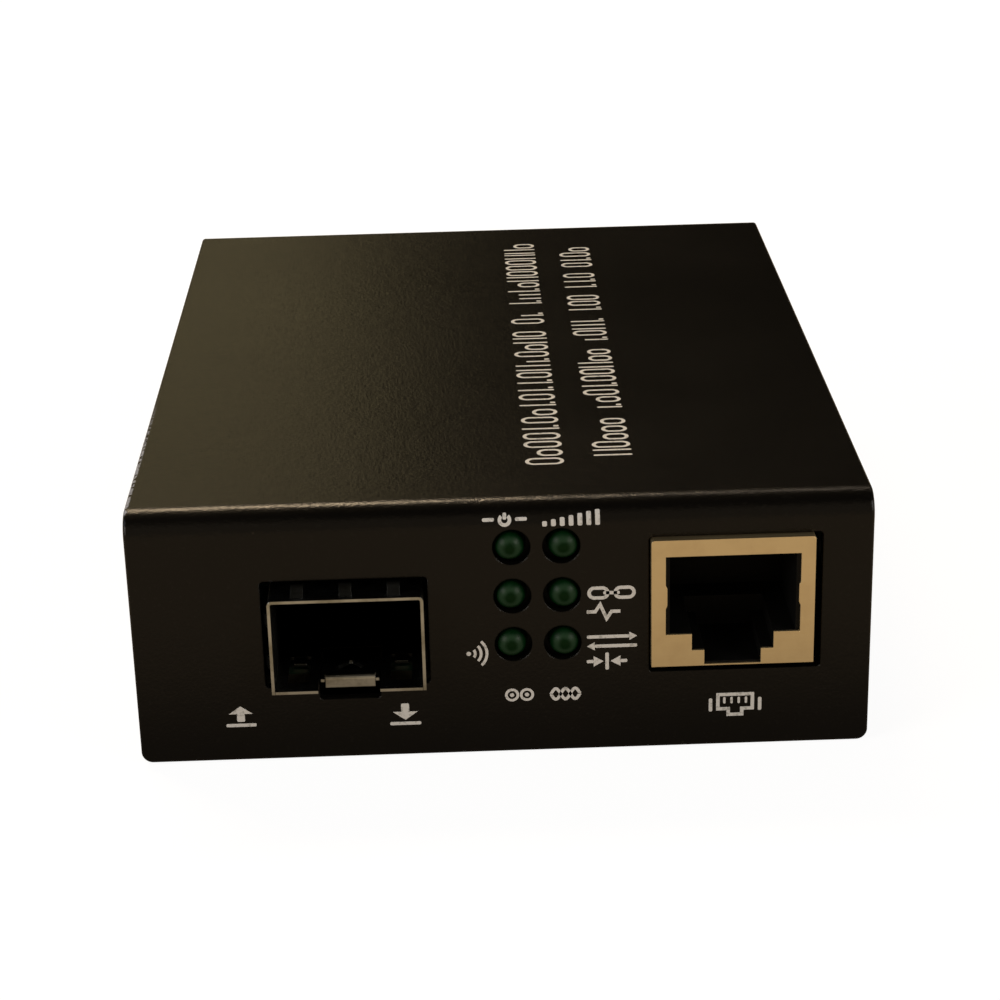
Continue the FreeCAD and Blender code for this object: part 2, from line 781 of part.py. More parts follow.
def sfp_latch():
    # The floor's sprung tongue: a triangular catch hole, a down-turned lip and two shoulders.
    half = latch_width / 2
    lip_half = latch_lip_width / 2
    top = cage_low + cage_sheet
    lip_front = cage_front + latch_lip_back
    tongue_front = lip_front + latch_bend + cage_sheet
    middle = cage_low + cage_sheet / 2
    path = [(tongue_front + cage_sheet, middle), (lip_front + cage_sheet / 2, middle)]
    path.append((lip_front + cage_sheet / 2, top - latch_lip_height))
    lip = bent_strip("x", cage_x - lip_half, cage_x + lip_half, path, cage_sheet, latch_bend)
    tongue = box(cage_x - half, cage_x + half, tongue_front, latch_root, cage_low, top)
    pieces = [tongue, lip]
    for hand in (-1, 1):
        x_low, x_high = sorted((cage_x + hand * half, cage_x + hand * (lip_half + latch_lip_slit)))
        pieces.append(box(x_low, x_high, lip_front - latch_shoulder, tongue_front, cage_low, top))
    base = cage_front + latch_hole_front
    hole_half = latch_hole_width / 2
    outline = [(cage_x - hole_half, base), (cage_x + hole_half, base), (cage_x, base + latch_hole_length)]
    body = joined(pieces).cut(prism("z", cage_low - past, top + past, outline, [latch_hole_round] * 3))
    on_rim = [edge for edge in body.Edges
              if edge.BoundBox.ZMin > top - near and edge.BoundBox.YMin > base - near
              and edge.BoundBox.YMax < base + latch_hole_length + near
              and edge.BoundBox.XMin > cage_x - hole_half - near
              and edge.BoundBox.XMax < cage_x + hole_half + near]
    return body.makeChamfer(latch_hole_bevel, on_rim)


def plug_contact_path(upper):
    # A gold contact from the slot's mouth, through the body, to its solder tail.
    middle = board_top + plug_slot_middle
    gap = plug_slot_height / 2 - plug_contact_sheet
    foot = board_top + plug_contact_sheet / 2
    slot_rear = plug_front + plug_slot_depth
    start = plug_front + plug_contact_start
    if upper:
        drop = plug_rear + plug_upper_drop
        high = middle + plug_slot_height / 2 + plug_contact_rise
        return [(start, middle + gap), (slot_rear, middle + gap), (slot_rear + plug_contact_jog, high),
                (drop, high), (drop, foot), (drop + plug_tail, foot)]
    drop = slot_rear - plug_lower_drop
    return [(start, middle - gap), (drop, middle - gap - plug_contact_dip), (drop, foot),
            (plug_front - plug_tail, foot)]


def plug_contacts(extra=0.0):
    contacts = []
    for upper in (True, False):
        path = plug_contact_path(upper)
        for i in range(plug_contact_count):
            x = cage_x + (i - (plug_contact_count - 1) / 2) * plug_contact_pitch
            x += plug_contact_shift if upper else -plug_contact_shift
            half = plug_contact_width / 2 + extra
            contacts.append(bent_strip("x", x - half, x + half, path, plug_contact_sheet + 2 * extra))
    return contacts


def sfp_connector_body():
    half = plug_width / 2
    body = box(cage_x - half, cage_x + half, plug_front, plug_rear, board_top, board_top + plug_height)
    middle = board_top + plug_slot_middle
    slot = plug_slot_width / 2
    slot_cut = box(cage_x - slot, cage_x + slot, plug_front - past, plug_front + plug_slot_depth,
                   middle - plug_slot_height / 2, middle + plug_slot_height / 2)
    edges = [edge for edge in body.Edges if edge.BoundBox.ZMin > board_top + plug_height - near]
    return body.makeChamfer(plug_bevel, edges).cut([slot_cut] + plug_contacts(plug_contact_gap))


# ---- network jack ----
def jack_opening(y_low, y_high, slot_low):
    # The plug's window with its narrower step and latch slot below, open to the front.
    cuts = []
    for width, low in ((jack_window_width, jack_window_low), (jack_step_width, jack_step_low),
                       (jack_slot_width, slot_low)):
        cuts.append(box(jack_x - width / 2, jack_x + width / 2, y_low, y_high, jack_low + low, cavity_high))
    return cuts


def jack_side_springs():
    # Each side of the window bulges inward a little where a ground spring is pressed from it.
    springs = []
    middle = cavity_low + jack_spring_middle
    high = jack_spring_height / 2
    flat = high - jack_spring_ramp
    for hand in (-1, 1):
        edge = jack_x + hand * jack_window_width / 2
        inner = edge - hand * jack_spring_bulge
        outer = edge + hand * jack_sheet
        outline = [(outer, middle - high), (edge, middle - high), (inner, middle - flat),
                   (inner, middle + flat), (edge, middle + high), (outer, middle + high)]
        springs.append(prism("y", jack_front, jack_front + jack_sheet, outline))
    return springs


def rj45_shield():
    outline = [(jack_x - jack_width / 2, jack_low), (jack_x + jack_width / 2, jack_low)]
    outline += [(jack_x + jack_width / 2, jack_high), (jack_x - jack_width / 2, jack_high)]
    shell = prism("y", jack_front, jack_rear, outline, [0, 0, jack_corner, jack_corner])
    inner = jack_width / 2 - jack_sheet
    shell = shell.cut(box(jack_x - inner, jack_x + inner, jack_front + jack_sheet, jack_rear - jack_sheet,
                          jack_low - past, jack_high - jack_sheet))
    shell = shell.cut(jack_opening(jack_front - past, jack_front + 2 * jack_sheet, jack_slot_low))
    legs = jack_side_springs()
    for x, y in jack_leg_places():
        legs.append(box(x - jack_sheet / 2, x + jack_sheet / 2, y - jack_leg_width / 2,
                        y + jack_leg_width / 2, pin_end, jack_low + weld))
    return joined([shell] + legs)


def jack_contact_path(i):
    # Spring end in the cavity, hairpin near the mouth, along the roof and down to the board.
    roof = cavity_high + jack_contact_roof
    bend = housing_front + jack_contact_front
    tip = (cavity_rear - jack_tip_back, cavity_high - jack_tip_drop)
    arm = (bend + jack_contact_lead, cavity_high - jack_contact_dip)
    drop = contact_drop_y(i)
    return [tip, arm, (bend, roof), (drop, roof), (drop, pin_end)]


def jack_contacts(extra=0.0):
    contacts = []
    for i in range(jack_contact_count):
        x = jack_x + (i - (jack_contact_count - 1) / 2) * jack_contact_pitch
        half = jack_contact_width / 2 + extra
        thickness = jack_contact_sheet + 2 * extra
        contacts.append(bent_strip("x", x - half, x + half, jack_contact_path(i), thickness))
    return contacts


def rj45_housing():
    body = box(jack_x - housing_side, jack_x + housing_side, housing_front, housing_rear,
               board_top, housing_high)
    half = jack_cavity_width / 2
    mouth = housing_front - past
    cuts = [box(jack_x - half, jack_x + half, mouth, cavity_rear, cavity_low, cavity_high)]
    for width, low in ((jack_step_width, jack_step_low), (jack_slot_width, 2 * jack_slot_low)):
        cuts.append(box(jack_x - width / 2, jack_x + width / 2, mouth, cavity_rear - jack_step_back,
                        jack_low + low, cavity_high))
    cuts.append(box(jack_x - jack_width, jack_x + jack_width, mouth, inner_front + jack_foot_gap,
                    board_top - past, jack_low + jack_slot_low))
    cuts += jack_contacts(jack_contact_gap)
    pegs = []
    for hand in (-1, 1):
        x = jack_x + hand * jack_peg_spread
        pegs.append(rod((x, jack_front + jack_peg_back, pin_end), (0, 0, 1), jack_peg_radius,
                        board_top - pin_end + weld))
    return joined([body] + pegs).cut(cuts)


# ---- indicator lamps ----
def lamp(x, z):
    back = lamp_back - lamp_flange_height
    body = rod((x, lamp_tip + lamp_radius, z), (0, 1, 0), lamp_radius, back - lamp_tip - lamp_radius)
    dome = Part.makeSphere(lamp_radius, Vector(x, lamp_tip + lamp_radius, z))
    flange = rod((x, back, z), (0, 1, 0), lamp_flange_radius, lamp_flange_height)
    return joined([body, dome, flange])


def lamp_holder():
    half = lamp_column_pitch / 2 + lamp_flange_radius + holder_fit + holder_wall
    block = box(lamp_x - half, lamp_x + half, holder_front, holder_rear, board_top, board_top + holder_rise)
    step = lamp_back - lamp_flange_height
    through = holder_depth + 2 * past
    cuts = []
    for x, z in lamp_places(lamp_column_pitch).values():
        cuts.append(rod((x, holder_front - past, z), (0, 1, 0), lamp_radius + holder_fit, through))
        cuts.append(rod((x, step, z), (0, 1, 0), lamp_flange_radius + holder_fit, through))
    return block.cut(cuts)


def lamp_leads():
    leads = []
    for x, z, bend in lead_rows():
        path = [(lamp_back, z), (bend, z), (bend, pin_end)]
        for lead_x in (x - lead_spacing / 2, x + lead_spacing / 2):
            leads.append(bent_strip("x", lead_x - lead_size / 2, lead_x + lead_size / 2, path, lead_size,
                                    lead_fold))
    return leads


# ---- power jack ----
def power_spring_path():
    # The sleeve spring lies along the bottom of the bore and turns down into its lug.
    low = power_z - power_bore_radius - power_spring_sink
    y = power_tab_places()[1][1]
    return [(power_front - power_spring_front, low + power_spring_tip),
            (power_front - power_spring_middle, low + power_spring_crest), (y, low), (y, pin_end)]


def dc_jack_body():
    half = power_width / 2
    top = board_top + power_height
    flange = box(power_x - half, power_x + half, power_front - power_flange_depth, power_front,
                 board_top, top)
    flange = soften(flange, power_flange_round,
                    lambda bound: bound.ZMin > top - near and bound.XLength < near)
    barrel = rod((power_x, power_back, power_z), (0, 1, 0), power_barrel_radius, power_depth)
    block = box(power_x - power_barrel_radius, power_x + power_barrel_radius, power_back, power_front,
                board_top, power_z)
    body = joined([flange, barrel, block])
    bore = rod((power_x, bore_floor, power_z), (0, 1, 0), power_bore_radius, power_bore_depth + past)
    shank_hole = rod((power_x, power_back - past, power_z), (0, 1, 0), power_shank_radius + power_shank_gap,
                     power_depth)
    tab_half = power_tab_width / 2 + power_tab_gap
    spring = bent_strip("x", power_x - tab_half, power_x + tab_half, power_spring_path(),
                        power_tab_sheet + 2 * power_tab_gap)
    lug_rear = power_back + power_pin_lug + power_tab_sheet / 2 + power_tab_gap
    lug_top = power_z + power_shank_radius + power_pin_lug + power_tab_gap
    lug = box(power_x - tab_half, power_x + tab_half, power_back - past, lug_rear, board_top - past, lug_top)
    return body.cut([bore, shank_hole, spring, lug])


def dc_jack_pin():
    # The centre pin stands on the bore's floor, and its thinner end is riveted in the lug behind.
    start = power_back + power_pin_lug + power_tab_sheet / 2
    shank = rod((power_x, start, power_z), (0, 1, 0), power_shank_radius, bore_floor - start)
    pin = rod((power_x, bore_floor, power_z), (0, 1, 0), power_pin_radius, power_pin_length)
    tip = bore_floor + power_pin_length
    pin = soften(pin, power_pin_round, lambda bound: bound.YMin > tip - near)
    return joined([pin, shank])


def dc_jack_lugs():
    half = power_tab_width / 2
    spring = bent_strip("x", power_x - half, power_x + half, power_spring_path(), power_tab_sheet,
                        power_tab_fold)
    lug_y = power_tab_places()[0][1]
    thin = power_tab_sheet / 2
    lug = box(power_x - half, power_x + half, lug_y - thin, lug_y + thin, pin_end,
              power_z + power_shank_radius + power_pin_lug)
    return [spring, lug]


# ---- parts soldered on the board ----
def lan_transformer():
    return low_part(transformer_x, transformer_y, transformer_width, transformer_depth, transformer_height)


def lan_transformer_leads():
    leads = []
    foot = board_top + transformer_lead_sheet / 2
    for hand in (-1, 1):
        wall = transformer_y + hand * transformer_depth / 2
        knee = wall + hand * transformer_lead_knee
        high = board_top + transformer_lead_rise
        path = [(wall, high), (knee, high), (knee, foot), (wall + hand * transformer_lead_reach, foot)]
        for i in range(transformer_lead_count):
            x = transformer_x + (i - (transformer_lead_count - 1) / 2) * transformer_lead_pitch
            half = transformer_lead_width / 2
            leads.append(bent_strip("x", x - half, x + half, path, transformer_lead_sheet))
    return leads


def power_coil():
    half = coil_size / 2
    top = board_top + coil_height
    core = rounded_box("z", board_top, top, coil_x - half, coil_x + half, power_row_y - half,
                       power_row_y + half, coil_corner)
    dish = rod((coil_x, power_row_y, top - coil_dish_depth), (0, 0, 1), coil_dish_radius, past)
    return core.cut(dish)


def can_places():
    return [(can_x - i * can_pitch, power_row_y) for i in range(2)]


def capacitor_bases():
    bases = []
    for x, y in can_places():
        half = can_radius + can_base_margin
        bases.append(box(x - half, x + half, y - half, y + half, board_top, board_top + can_base_height))
    return bases


def capacitor_cans():
    cans = []
    for x, y in can_places():
        can = rod((x, y, board_top + can_base_height), (0, 0, 1), can_radius, can_height)
        top = board_top + can_base_height + can_height
        cans.append(soften(can, can_round, lambda bound: bound.ZMin > top - near))
    return cans


def small_parts(x, y, chip_size, count):
    # A row of small two-ended parts behind a chip.
    row_y = y + chip_size / 2 + small_gap + small_part_depth / 2
    parts = []
    for i in range(count):
        part_x = x + (i - (count - 1) / 2) * small_part_pitch
        parts.append(low_part(part_x, row_y, small_part_width, small_part_depth, small_part_height))
    return parts


def small_capacitors():
    return small_parts(lamp_x, switch_y, switch_chip_size, small_part_count)


def small_resistors():
    # Behind the cage, fed by the optical module's control lines.
    return small_parts(cage_x, cage_rear, 0, small_part_count)


def save(name, shape):
    if isinstance(shape, list):
        shape = Part.makeCompound(shape)
    shape.exportStep("parts/%s.step" % name)
    print(name, len(shape.Solids), "solid(s)", round(shape.Volume, 2), "mm3")


os.makedirs("parts", exist_ok=True)
save("top_cover", top_cover())
save("base_tray", base_tray())
save("cover_brackets", cover_brackets())
save("cover_screws", cover_screws())
save("board_standoffs", board_standoffs())
save("board_screws", board_screws())
save("circuit_board", circuit_board())
save("sfp_cage", sfp_cage())
save("sfp_cage_floor", sfp_cage_floor())
save("sfp_latch", sfp_latch())
save("sfp_connector_body", sfp_connector_body())
save("sfp_connector_contacts", plug_contacts())
save("rj45_shield", rj45_shield())
save("rj45_housing", rj45_housing())
save("rj45_contacts", jack_contacts())
for lamp_name, lamp_place in lamp_places(lamp_column_pitch).items():
    save(lamp_name, lamp(*lamp_place))
save("lamp_holder", lamp_holder())
save("lamp_leads", lamp_leads())
save("dc_jack_body", dc_jack_body())
save("dc_jack_pin", dc_jack_pin())
save("dc_jack_lugs", dc_jack_lugs())
save("lan_transformer", lan_transformer())
save("lan_transformer_leads", lan_transformer_leads())
save("switch_chip", low_part(lamp_x, switch_y, switch_chip_size, switch_chip_size, flat_chip_height))
save("phy_chip", low_part(transformer_x, phy_y, phy_chip_size, phy_chip_size, flat_chip_height))
save("memory_chip", low_part(lamp_x, memory_y, memory_width, memory_depth, memory_height))
save("crystal_can", low_part(transformer_x, crystal_y, crystal_width, crystal_depth, crystal_height))
save("power_coil", power_coil())
save("power_regulator", low_part(coil_x, regulator_y, regulator_width, regulator_depth, regulator_height))
save("input_fuse", low_part(fuse_x, power_row_y, fuse_width, fuse_depth, fuse_height))
save("input_diode", low_part(fuse_x, power_row_y - fuse_depth / 2 - part_gap - diode_depth / 2,
                             diode_width, diode_depth, diode_height))
save("capacitor_bases", capacitor_bases())
save("capacitor_cans", capacitor_cans())
save("small_capacitors", small_capacitors())
save("small_resistors", small_resistors())
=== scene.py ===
import json
import math
import random

import bmesh
import bpy
from mathutils import Matrix, Vector


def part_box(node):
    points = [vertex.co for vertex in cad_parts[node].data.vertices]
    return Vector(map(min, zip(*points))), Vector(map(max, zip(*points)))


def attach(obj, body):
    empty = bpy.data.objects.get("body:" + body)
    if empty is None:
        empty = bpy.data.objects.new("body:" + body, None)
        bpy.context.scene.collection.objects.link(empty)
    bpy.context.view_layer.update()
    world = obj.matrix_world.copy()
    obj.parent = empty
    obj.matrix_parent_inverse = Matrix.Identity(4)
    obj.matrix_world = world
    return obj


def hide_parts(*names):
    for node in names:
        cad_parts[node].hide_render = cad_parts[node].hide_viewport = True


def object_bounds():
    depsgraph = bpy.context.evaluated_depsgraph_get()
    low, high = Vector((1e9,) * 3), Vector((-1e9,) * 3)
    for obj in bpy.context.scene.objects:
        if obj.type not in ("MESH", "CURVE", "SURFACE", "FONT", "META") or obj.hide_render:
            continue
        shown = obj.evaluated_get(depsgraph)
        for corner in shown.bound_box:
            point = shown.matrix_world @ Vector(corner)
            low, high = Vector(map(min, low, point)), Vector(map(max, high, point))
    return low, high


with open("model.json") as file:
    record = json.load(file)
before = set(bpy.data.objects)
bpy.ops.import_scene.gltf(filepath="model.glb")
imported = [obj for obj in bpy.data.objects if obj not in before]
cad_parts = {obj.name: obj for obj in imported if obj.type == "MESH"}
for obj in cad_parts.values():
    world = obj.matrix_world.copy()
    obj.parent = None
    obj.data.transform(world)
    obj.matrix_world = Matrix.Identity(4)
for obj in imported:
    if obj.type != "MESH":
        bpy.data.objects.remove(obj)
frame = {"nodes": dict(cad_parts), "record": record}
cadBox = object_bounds()
mm = 0.001
print("frame loaded:", len(frame["nodes"]), "nodes")


def middleOf(node):
    low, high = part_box(node)
    return (low + high) / 2


def addToScene(name, data):
    thing = bpy.data.objects.new(name, data)
    bpy.context.scene.collection.objects.link(thing)
    return thing


def newGroup(name, inputs, outputs):
    group = bpy.data.node_groups.new(name, "ShaderNodeTree")
    for label, kind, value in inputs:
        socket = group.interface.new_socket(name=label, in_out="INPUT", socket_type=kind)
        if value is not None:
            socket.default_value = value
    for label, kind in outputs:
        group.interface.new_socket(name=label, in_out="OUTPUT", socket_type=kind)
    return group, group.nodes.new("NodeGroupInput"), group.nodes.new("NodeGroupOutput")


def mathNode(tree, operation, first, second=None, third=None, clamp=False):
    node = tree.nodes.new("ShaderNodeMath")
    node.operation = operation
    node.use_clamp = clamp
    for slot, value in enumerate((first, second, third)):
        if value is None:
            continue
        if isinstance(value, (int, float)):
            node.inputs[slot].default_value = value
        else:
            tree.links.new(value, node.inputs[slot])
    return node.outputs[0]


def noiseNode(tree, vector, scale, detail=3.0, rough=0.5):
    node = tree.nodes.new("ShaderNodeTexNoise")
    node.inputs["Detail"].default_value = detail
    node.inputs["Roughness"].default_value = rough
    if isinstance(scale, (int, float)):
        node.inputs["Scale"].default_value = scale
    else:
        tree.links.new(scale, node.inputs["Scale"])
    tree.links.new(vector, node.inputs["Vector"])
    return node.outputs["Fac"]


def stepNode(tree, value, low, high):
    node = tree.nodes.new("ShaderNodeMapRange")
    node.interpolation_type = "SMOOTHSTEP"
    tree.links.new(value, node.inputs["Value"])
    for label, edge in (("From Min", low), ("From Max", high)):
        if isinstance(edge, (int, float)):
            node.inputs[label].default_value = edge
        else:
            tree.links.new(edge, node.inputs[label])
    return node.outputs["Result"]


def mixColour(tree, factor, first, second):
    # sockets 6 and 7 are the mix node's two colours, and output 2 is their mix
    node = tree.nodes.new("ShaderNodeMix")
    node.data_type = "RGBA"
    tree.links.new(factor, node.inputs[0])
    for socket, value in ((node.inputs[6], first), (node.inputs[7], second)):
        if isinstance(value, tuple):
            socket.default_value = (*value, 1)
        else:
            tree.links.new(value, socket)
    return node.outputs[2]


def objectPlace(tree):
    return tree.nodes.new("ShaderNodeTexCoord").outputs["Object"]


def splitVector(tree, vector):
    node = tree.nodes.new("ShaderNodeSeparateXYZ")
    tree.links.new(vector, node.inputs["Vector"])
    return node.outputs


def placeGroup(tree, group, **values):
    node = tree.nodes.new("ShaderNodeGroup")
    node.node_tree = group
    for label, value in values.items():
        node.inputs[label].default_value = value
    return node


def makeGrainGroup():
    # pebbled skin of a sprayed or moulded surface, sizes in grains per metre
    group, into, out = newGroup(
        "surfaceGrain",
        [("Grain", "NodeSocketFloat", 2600.0), ("Wave", "NodeSocketFloat", 420.0)],
        [("Height", "NodeSocketFloat"), ("Fleck", "NodeSocketFloat"), ("Cloud", "NodeSocketFloat")])
    place = objectPlace(group)
    fine = noiseNode(group, place, into.outputs["Grain"], 2.0, 0.6)
    slow = noiseNode(group, place, into.outputs["Wave"], 2.0)
    cloud = noiseNode(group, place, 38.0, 4.0, 0.6)
    height = mathNode(group, "MULTIPLY_ADD", slow, 0.8, fine)
    speckScale = mathNode(group, "MULTIPLY", into.outputs["Grain"], 0.8)
    speck = noiseNode(group, place, speckScale, 1.0)
    group.links.new(height, out.inputs["Height"])
    group.links.new(stepNode(group, speck, 0.62, 0.74), out.inputs["Fleck"])
    group.links.new(cloud, out.inputs["Cloud"])
    return group


def makeEdgeGroup():
    # worn or bare edges: where the rounded normal leaves the face's own normal
    group, into, out = newGroup(
        "edgeWear",
        [("Width", "NodeSocketFloat", 0.0003), ("Amount", "NodeSocketFloat", 1.0)],
        [("Mask", "NodeSocketFloat"), ("Normal", "NodeSocketVector")])
    bevel = group.nodes.new("ShaderNodeBevel")
    bevel.samples = 4
    group.links.new(into.outputs["Width"], bevel.inputs["Radius"])
    geometry = group.nodes.new("ShaderNodeNewGeometry")
    dot = group.nodes.new("ShaderNodeVectorMath")
    dot.operation = "DOT_PRODUCT"
    group.links.new(bevel.outputs["Normal"], dot.inputs[0])
    group.links.new(geometry.outputs["True Normal"], dot.inputs[1])
    bend = mathNode(group, "SUBTRACT", 1.0, dot.outputs["Value"])
    mask = stepNode(group, bend, 0.02, 0.25)
    place = objectPlace(group)
    patchy = stepNode(group, noiseNode(group, place, 900.0, 4.0, 0.7), 0.42, 0.62)
    mask = mathNode(group, "MULTIPLY", mask, patchy)
    mask = mathNode(group, "MULTIPLY", mask, into.outputs["Amount"], clamp=True)
    group.links.new(mask, out.inputs["Mask"])
    group.links.new(bevel.outputs["Normal"], out.inputs["Normal"])
    return group


def makeDustGroup():
    # sparse pale specks of dust
    group, into, out = newGroup(
        "dustSpecks",
        [("Scale", "NodeSocketFloat", 500.0), ("Size", "NodeSocketFloat", 0.12)],
        [("Mask", "NodeSocketFloat")])
    place = objectPlace(group)
    cells = group.nodes.new("ShaderNodeTexVoronoi")
    group.links.new(place, cells.inputs["Vector"])
    group.links.new(into.outputs["Scale"], cells.inputs["Scale"])
    near = stepNode(group, cells.outputs["Distance"], into.outputs["Size"], 0.0)
    split = group.nodes.new("ShaderNodeSeparateColor")
    group.links.new(cells.outputs["Color"], split.inputs["Color"])
    few = mathNode(group, "GREATER_THAN", split.outputs[0], 0.86)
    group.links.new(mathNode(group, "MULTIPLY", near, few), out.inputs["Mask"])
    return group


def makeRollGroup():
    # long fine scratches left by the rolling of sheet metal
    group, into, out = newGroup(
        "rolledMetal",
        [("Length", "NodeSocketFloat", 120.0), ("Lines", "NodeSocketFloat", 9000.0)],
        [("Streak", "NodeSocketFloat"), ("Tarnish", "NodeSocketFloat")])
    place = objectPlace(group)
    stretch = group.nodes.new("ShaderNodeCombineXYZ")
    group.links.new(into.outputs["Length"], stretch.inputs["X"])
    group.links.new(into.outputs["Lines"], stretch.inputs["Y"])
    group.links.new(into.outputs["Lines"], stretch.inputs["Z"])
    scaled = group.nodes.new("ShaderNodeVectorMath")
    scaled.operation = "MULTIPLY"
    group.links.new(place, scaled.inputs[0])
    group.links.new(stretch.outputs["Vector"], scaled.inputs[1])
    tarnish = stepNode(group, noiseNode(group, place, 300.0, 4.0, 0.65), 0.4, 0.75)
    group.links.new(noiseNode(group, scaled.outputs["Vector"], 1.0, 2.0), out.inputs["Streak"])
    group.links.new(tarnish, out.inputs["Tarnish"])
    return group


grainGroup = makeGrainGroup()
edgeGroup = makeEdgeGroup()
dustGroup = makeDustGroup()
rollGroup = makeRollGroup()
print("effect groups ready")


def newMaterial(name, metallic=0.0, roughness=0.5, specular=0.5):
    material = bpy.data.materials.new(name)
    material.use_nodes = True
    shader = material.node_tree.nodes["Principled BSDF"]
    shader.inputs["Metallic"].default_value = metallic
    shader.inputs["Roughness"].default_value = roughness
    shader.inputs["Specular IOR Level"].default_value = specular
    return material, material.node_tree, shader


def bumpInto(tree, shader, height, distance, normal=None):
    bump = tree.nodes.new("ShaderNodeBump")
    bump.inputs["Strength"].default_value = 1.0
    bump.inputs["Distance"].default_value = distance
    tree.links.new(height, bump.inputs["Height"])
    if normal is not None:
        tree.links.new(normal, bump.inputs["Normal"])
    tree.links.new(bump.outputs["Normal"], shader.inputs["Normal"])


def roughInto(tree, shader, value, low, spread):
    rough = mathNode(tree, "MULTIPLY_ADD", value, spread, low)
    tree.links.new(rough, shader.inputs["Roughness"])


paint = {
    "dark": (0.0020, 0.0018, 0.0015),
    "light": (0.0032, 0.0028, 0.0023),
    "dust": (0.035, 0.030, 0.022),
    "bare": (0.020, 0.018, 0.015),
    "dustShare": 0.4,
    "dustScale": 520.0,
    "dustSize": 0.08,
    "fleckShare": 0.10,
    "roughness": 0.24,
    "roughSpread": 0.10,
    "specular": 0.25,
    "grain": 3000.0,
    "wave": 700.0,
    "bump": 0.038 * mm,
    "edge": 0.22 * mm,
    "edgeShare": 0.35,
    # the values below paint a highlight along the cover's left edge
    "chip": (0.30, 0.33, 0.42),
    "chipScale": 1500.0,
    "chipSkip": 0.10 * mm,
    "chipWide": 0.46 * mm,
    "chipDeep": 0.45 * mm,
    "chipFull": 14.0 * mm,
    "chipEnd": 34.0 * mm,
}


def rimGlintMask(tree):
    # pale bluish flecks along the cover's left edge, a painted highlight, fewer towards the back
    low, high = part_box("top_cover")
    place = objectPlace(tree)
    parts = splitVector(tree, place)
    beside = stepNode(tree, parts["X"], low.x + paint["chipWide"], low.x + 0.7 * paint["chipWide"])
    inside = stepNode(tree, parts["X"], low.x + 0.5 * paint["chipSkip"], low.x + paint["chipSkip"])
    above = stepNode(tree, parts["Z"], high.z - paint["chipDeep"], high.z - 0.7 * paint["chipDeep"])
    along = stepNode(tree, parts["Y"], low.y + paint["chipEnd"], low.y + paint["chipFull"])
    flecks = stepNode(tree, noiseNode(tree, place, paint["chipScale"]), 0.42, 0.50)
    edge = mathNode(tree, "MULTIPLY", mathNode(tree, "MULTIPLY", beside, inside), above)
    return mathNode(tree, "MULTIPLY", mathNode(tree, "MULTIPLY", edge, along), flecks)


def makePaint():
    material, tree, shader = newMaterial(
        "powderCoat", roughness=paint["roughness"], specular=paint["specular"])
    grain = placeGroup(tree, grainGroup, Grain=paint["grain"], Wave=paint["wave"])
    edges = placeGroup(tree, edgeGroup, Width=paint["edge"], Amount=paint["edgeShare"])
    dust = placeGroup(tree, dustGroup, Scale=paint["dustScale"], Size=paint["dustSize"])
    flecks = mathNode(tree, "MULTIPLY", grain.outputs["Fleck"], paint["fleckShare"])
    specks = mathNode(tree, "MULTIPLY", dust.outputs["Mask"], paint["dustShare"])
    colour = mixColour(tree, grain.outputs["Cloud"], paint["dark"], paint["light"])
    colour = mixColour(tree, flecks, colour, paint["bare"])
    colour = mixColour(tree, edges.outputs["Mask"], colour, paint["bare"])
    colour = mixColour(tree, specks, colour, paint["dust"])
    # painted highlight along the cover's left edge
    colour = mixColour(tree, rimGlintMask(tree), colour, paint["chip"])
    tree.links.new(colour, shader.inputs["Base Color"])
    spread = paint["roughSpread"]
    roughInto(tree, shader, grain.outputs["Cloud"], paint["roughness"] - spread / 2, spread)
    bumpInto(tree, shader, grain.outputs["Height"], paint["bump"], edges.outputs["Normal"])
    return material


metals = {
    "cageNickel": {"clean": (0.50, 0.52, 0.52), "dull": (0.26, 0.26, 0.22), "roughness": 0.20,
                   "shaded": True},
    "jackNickel": {"clean": (0.86, 0.71, 0.44), "dull": (0.80, 0.65, 0.40), "roughness": 0.42},
    "zincPlate": {"clean": (0.60, 0.60, 0.56), "dull": (0.42, 0.42, 0.38), "roughness": 0.36},
    "goldPlate": {"clean": (0.86, 0.60, 0.22), "dull": (0.62, 0.42, 0.16), "roughness": 0.22},
    "tinPlate": {"clean": (0.70, 0.70, 0.67), "dull": (0.48, 0.48, 0.46), "roughness": 0.34},
    "drawnCan": {"clean": (0.78, 0.78, 0.77), "dull": (0.60, 0.60, 0.60), "roughness": 0.25},
}
metalSkin = {"length": 160.0, "lines": 7000.0, "edge": 0.06 * mm, "edgeShare": 0.5, "roughSpread": 0.18,
             "bump": 0.004 * mm}

# painted shade: darker deep in the cage from its mouth, and up the spring fingers from the cage's floor
cageShade = {"colour": (0.03, 0.028, 0.025), "deepStart": 4.6 * mm, "deepEnd": 8.4 * mm,
             "fingerStart": 10.0 * mm, "fingerEnd": 10.35 * mm}


def cageShadeMask(tree):
    low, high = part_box("sfp_cage_floor")
    parts = splitVector(tree, objectPlace(tree))
    deep = stepNode(tree, parts["Y"], low.y + cageShade["deepStart"], low.y + cageShade["deepEnd"])
    finger = stepNode(tree, parts["Z"], high.z + cageShade["fingerStart"], high.z + cageShade["fingerEnd"])
    return mathNode(tree, "MAXIMUM", deep, finger)


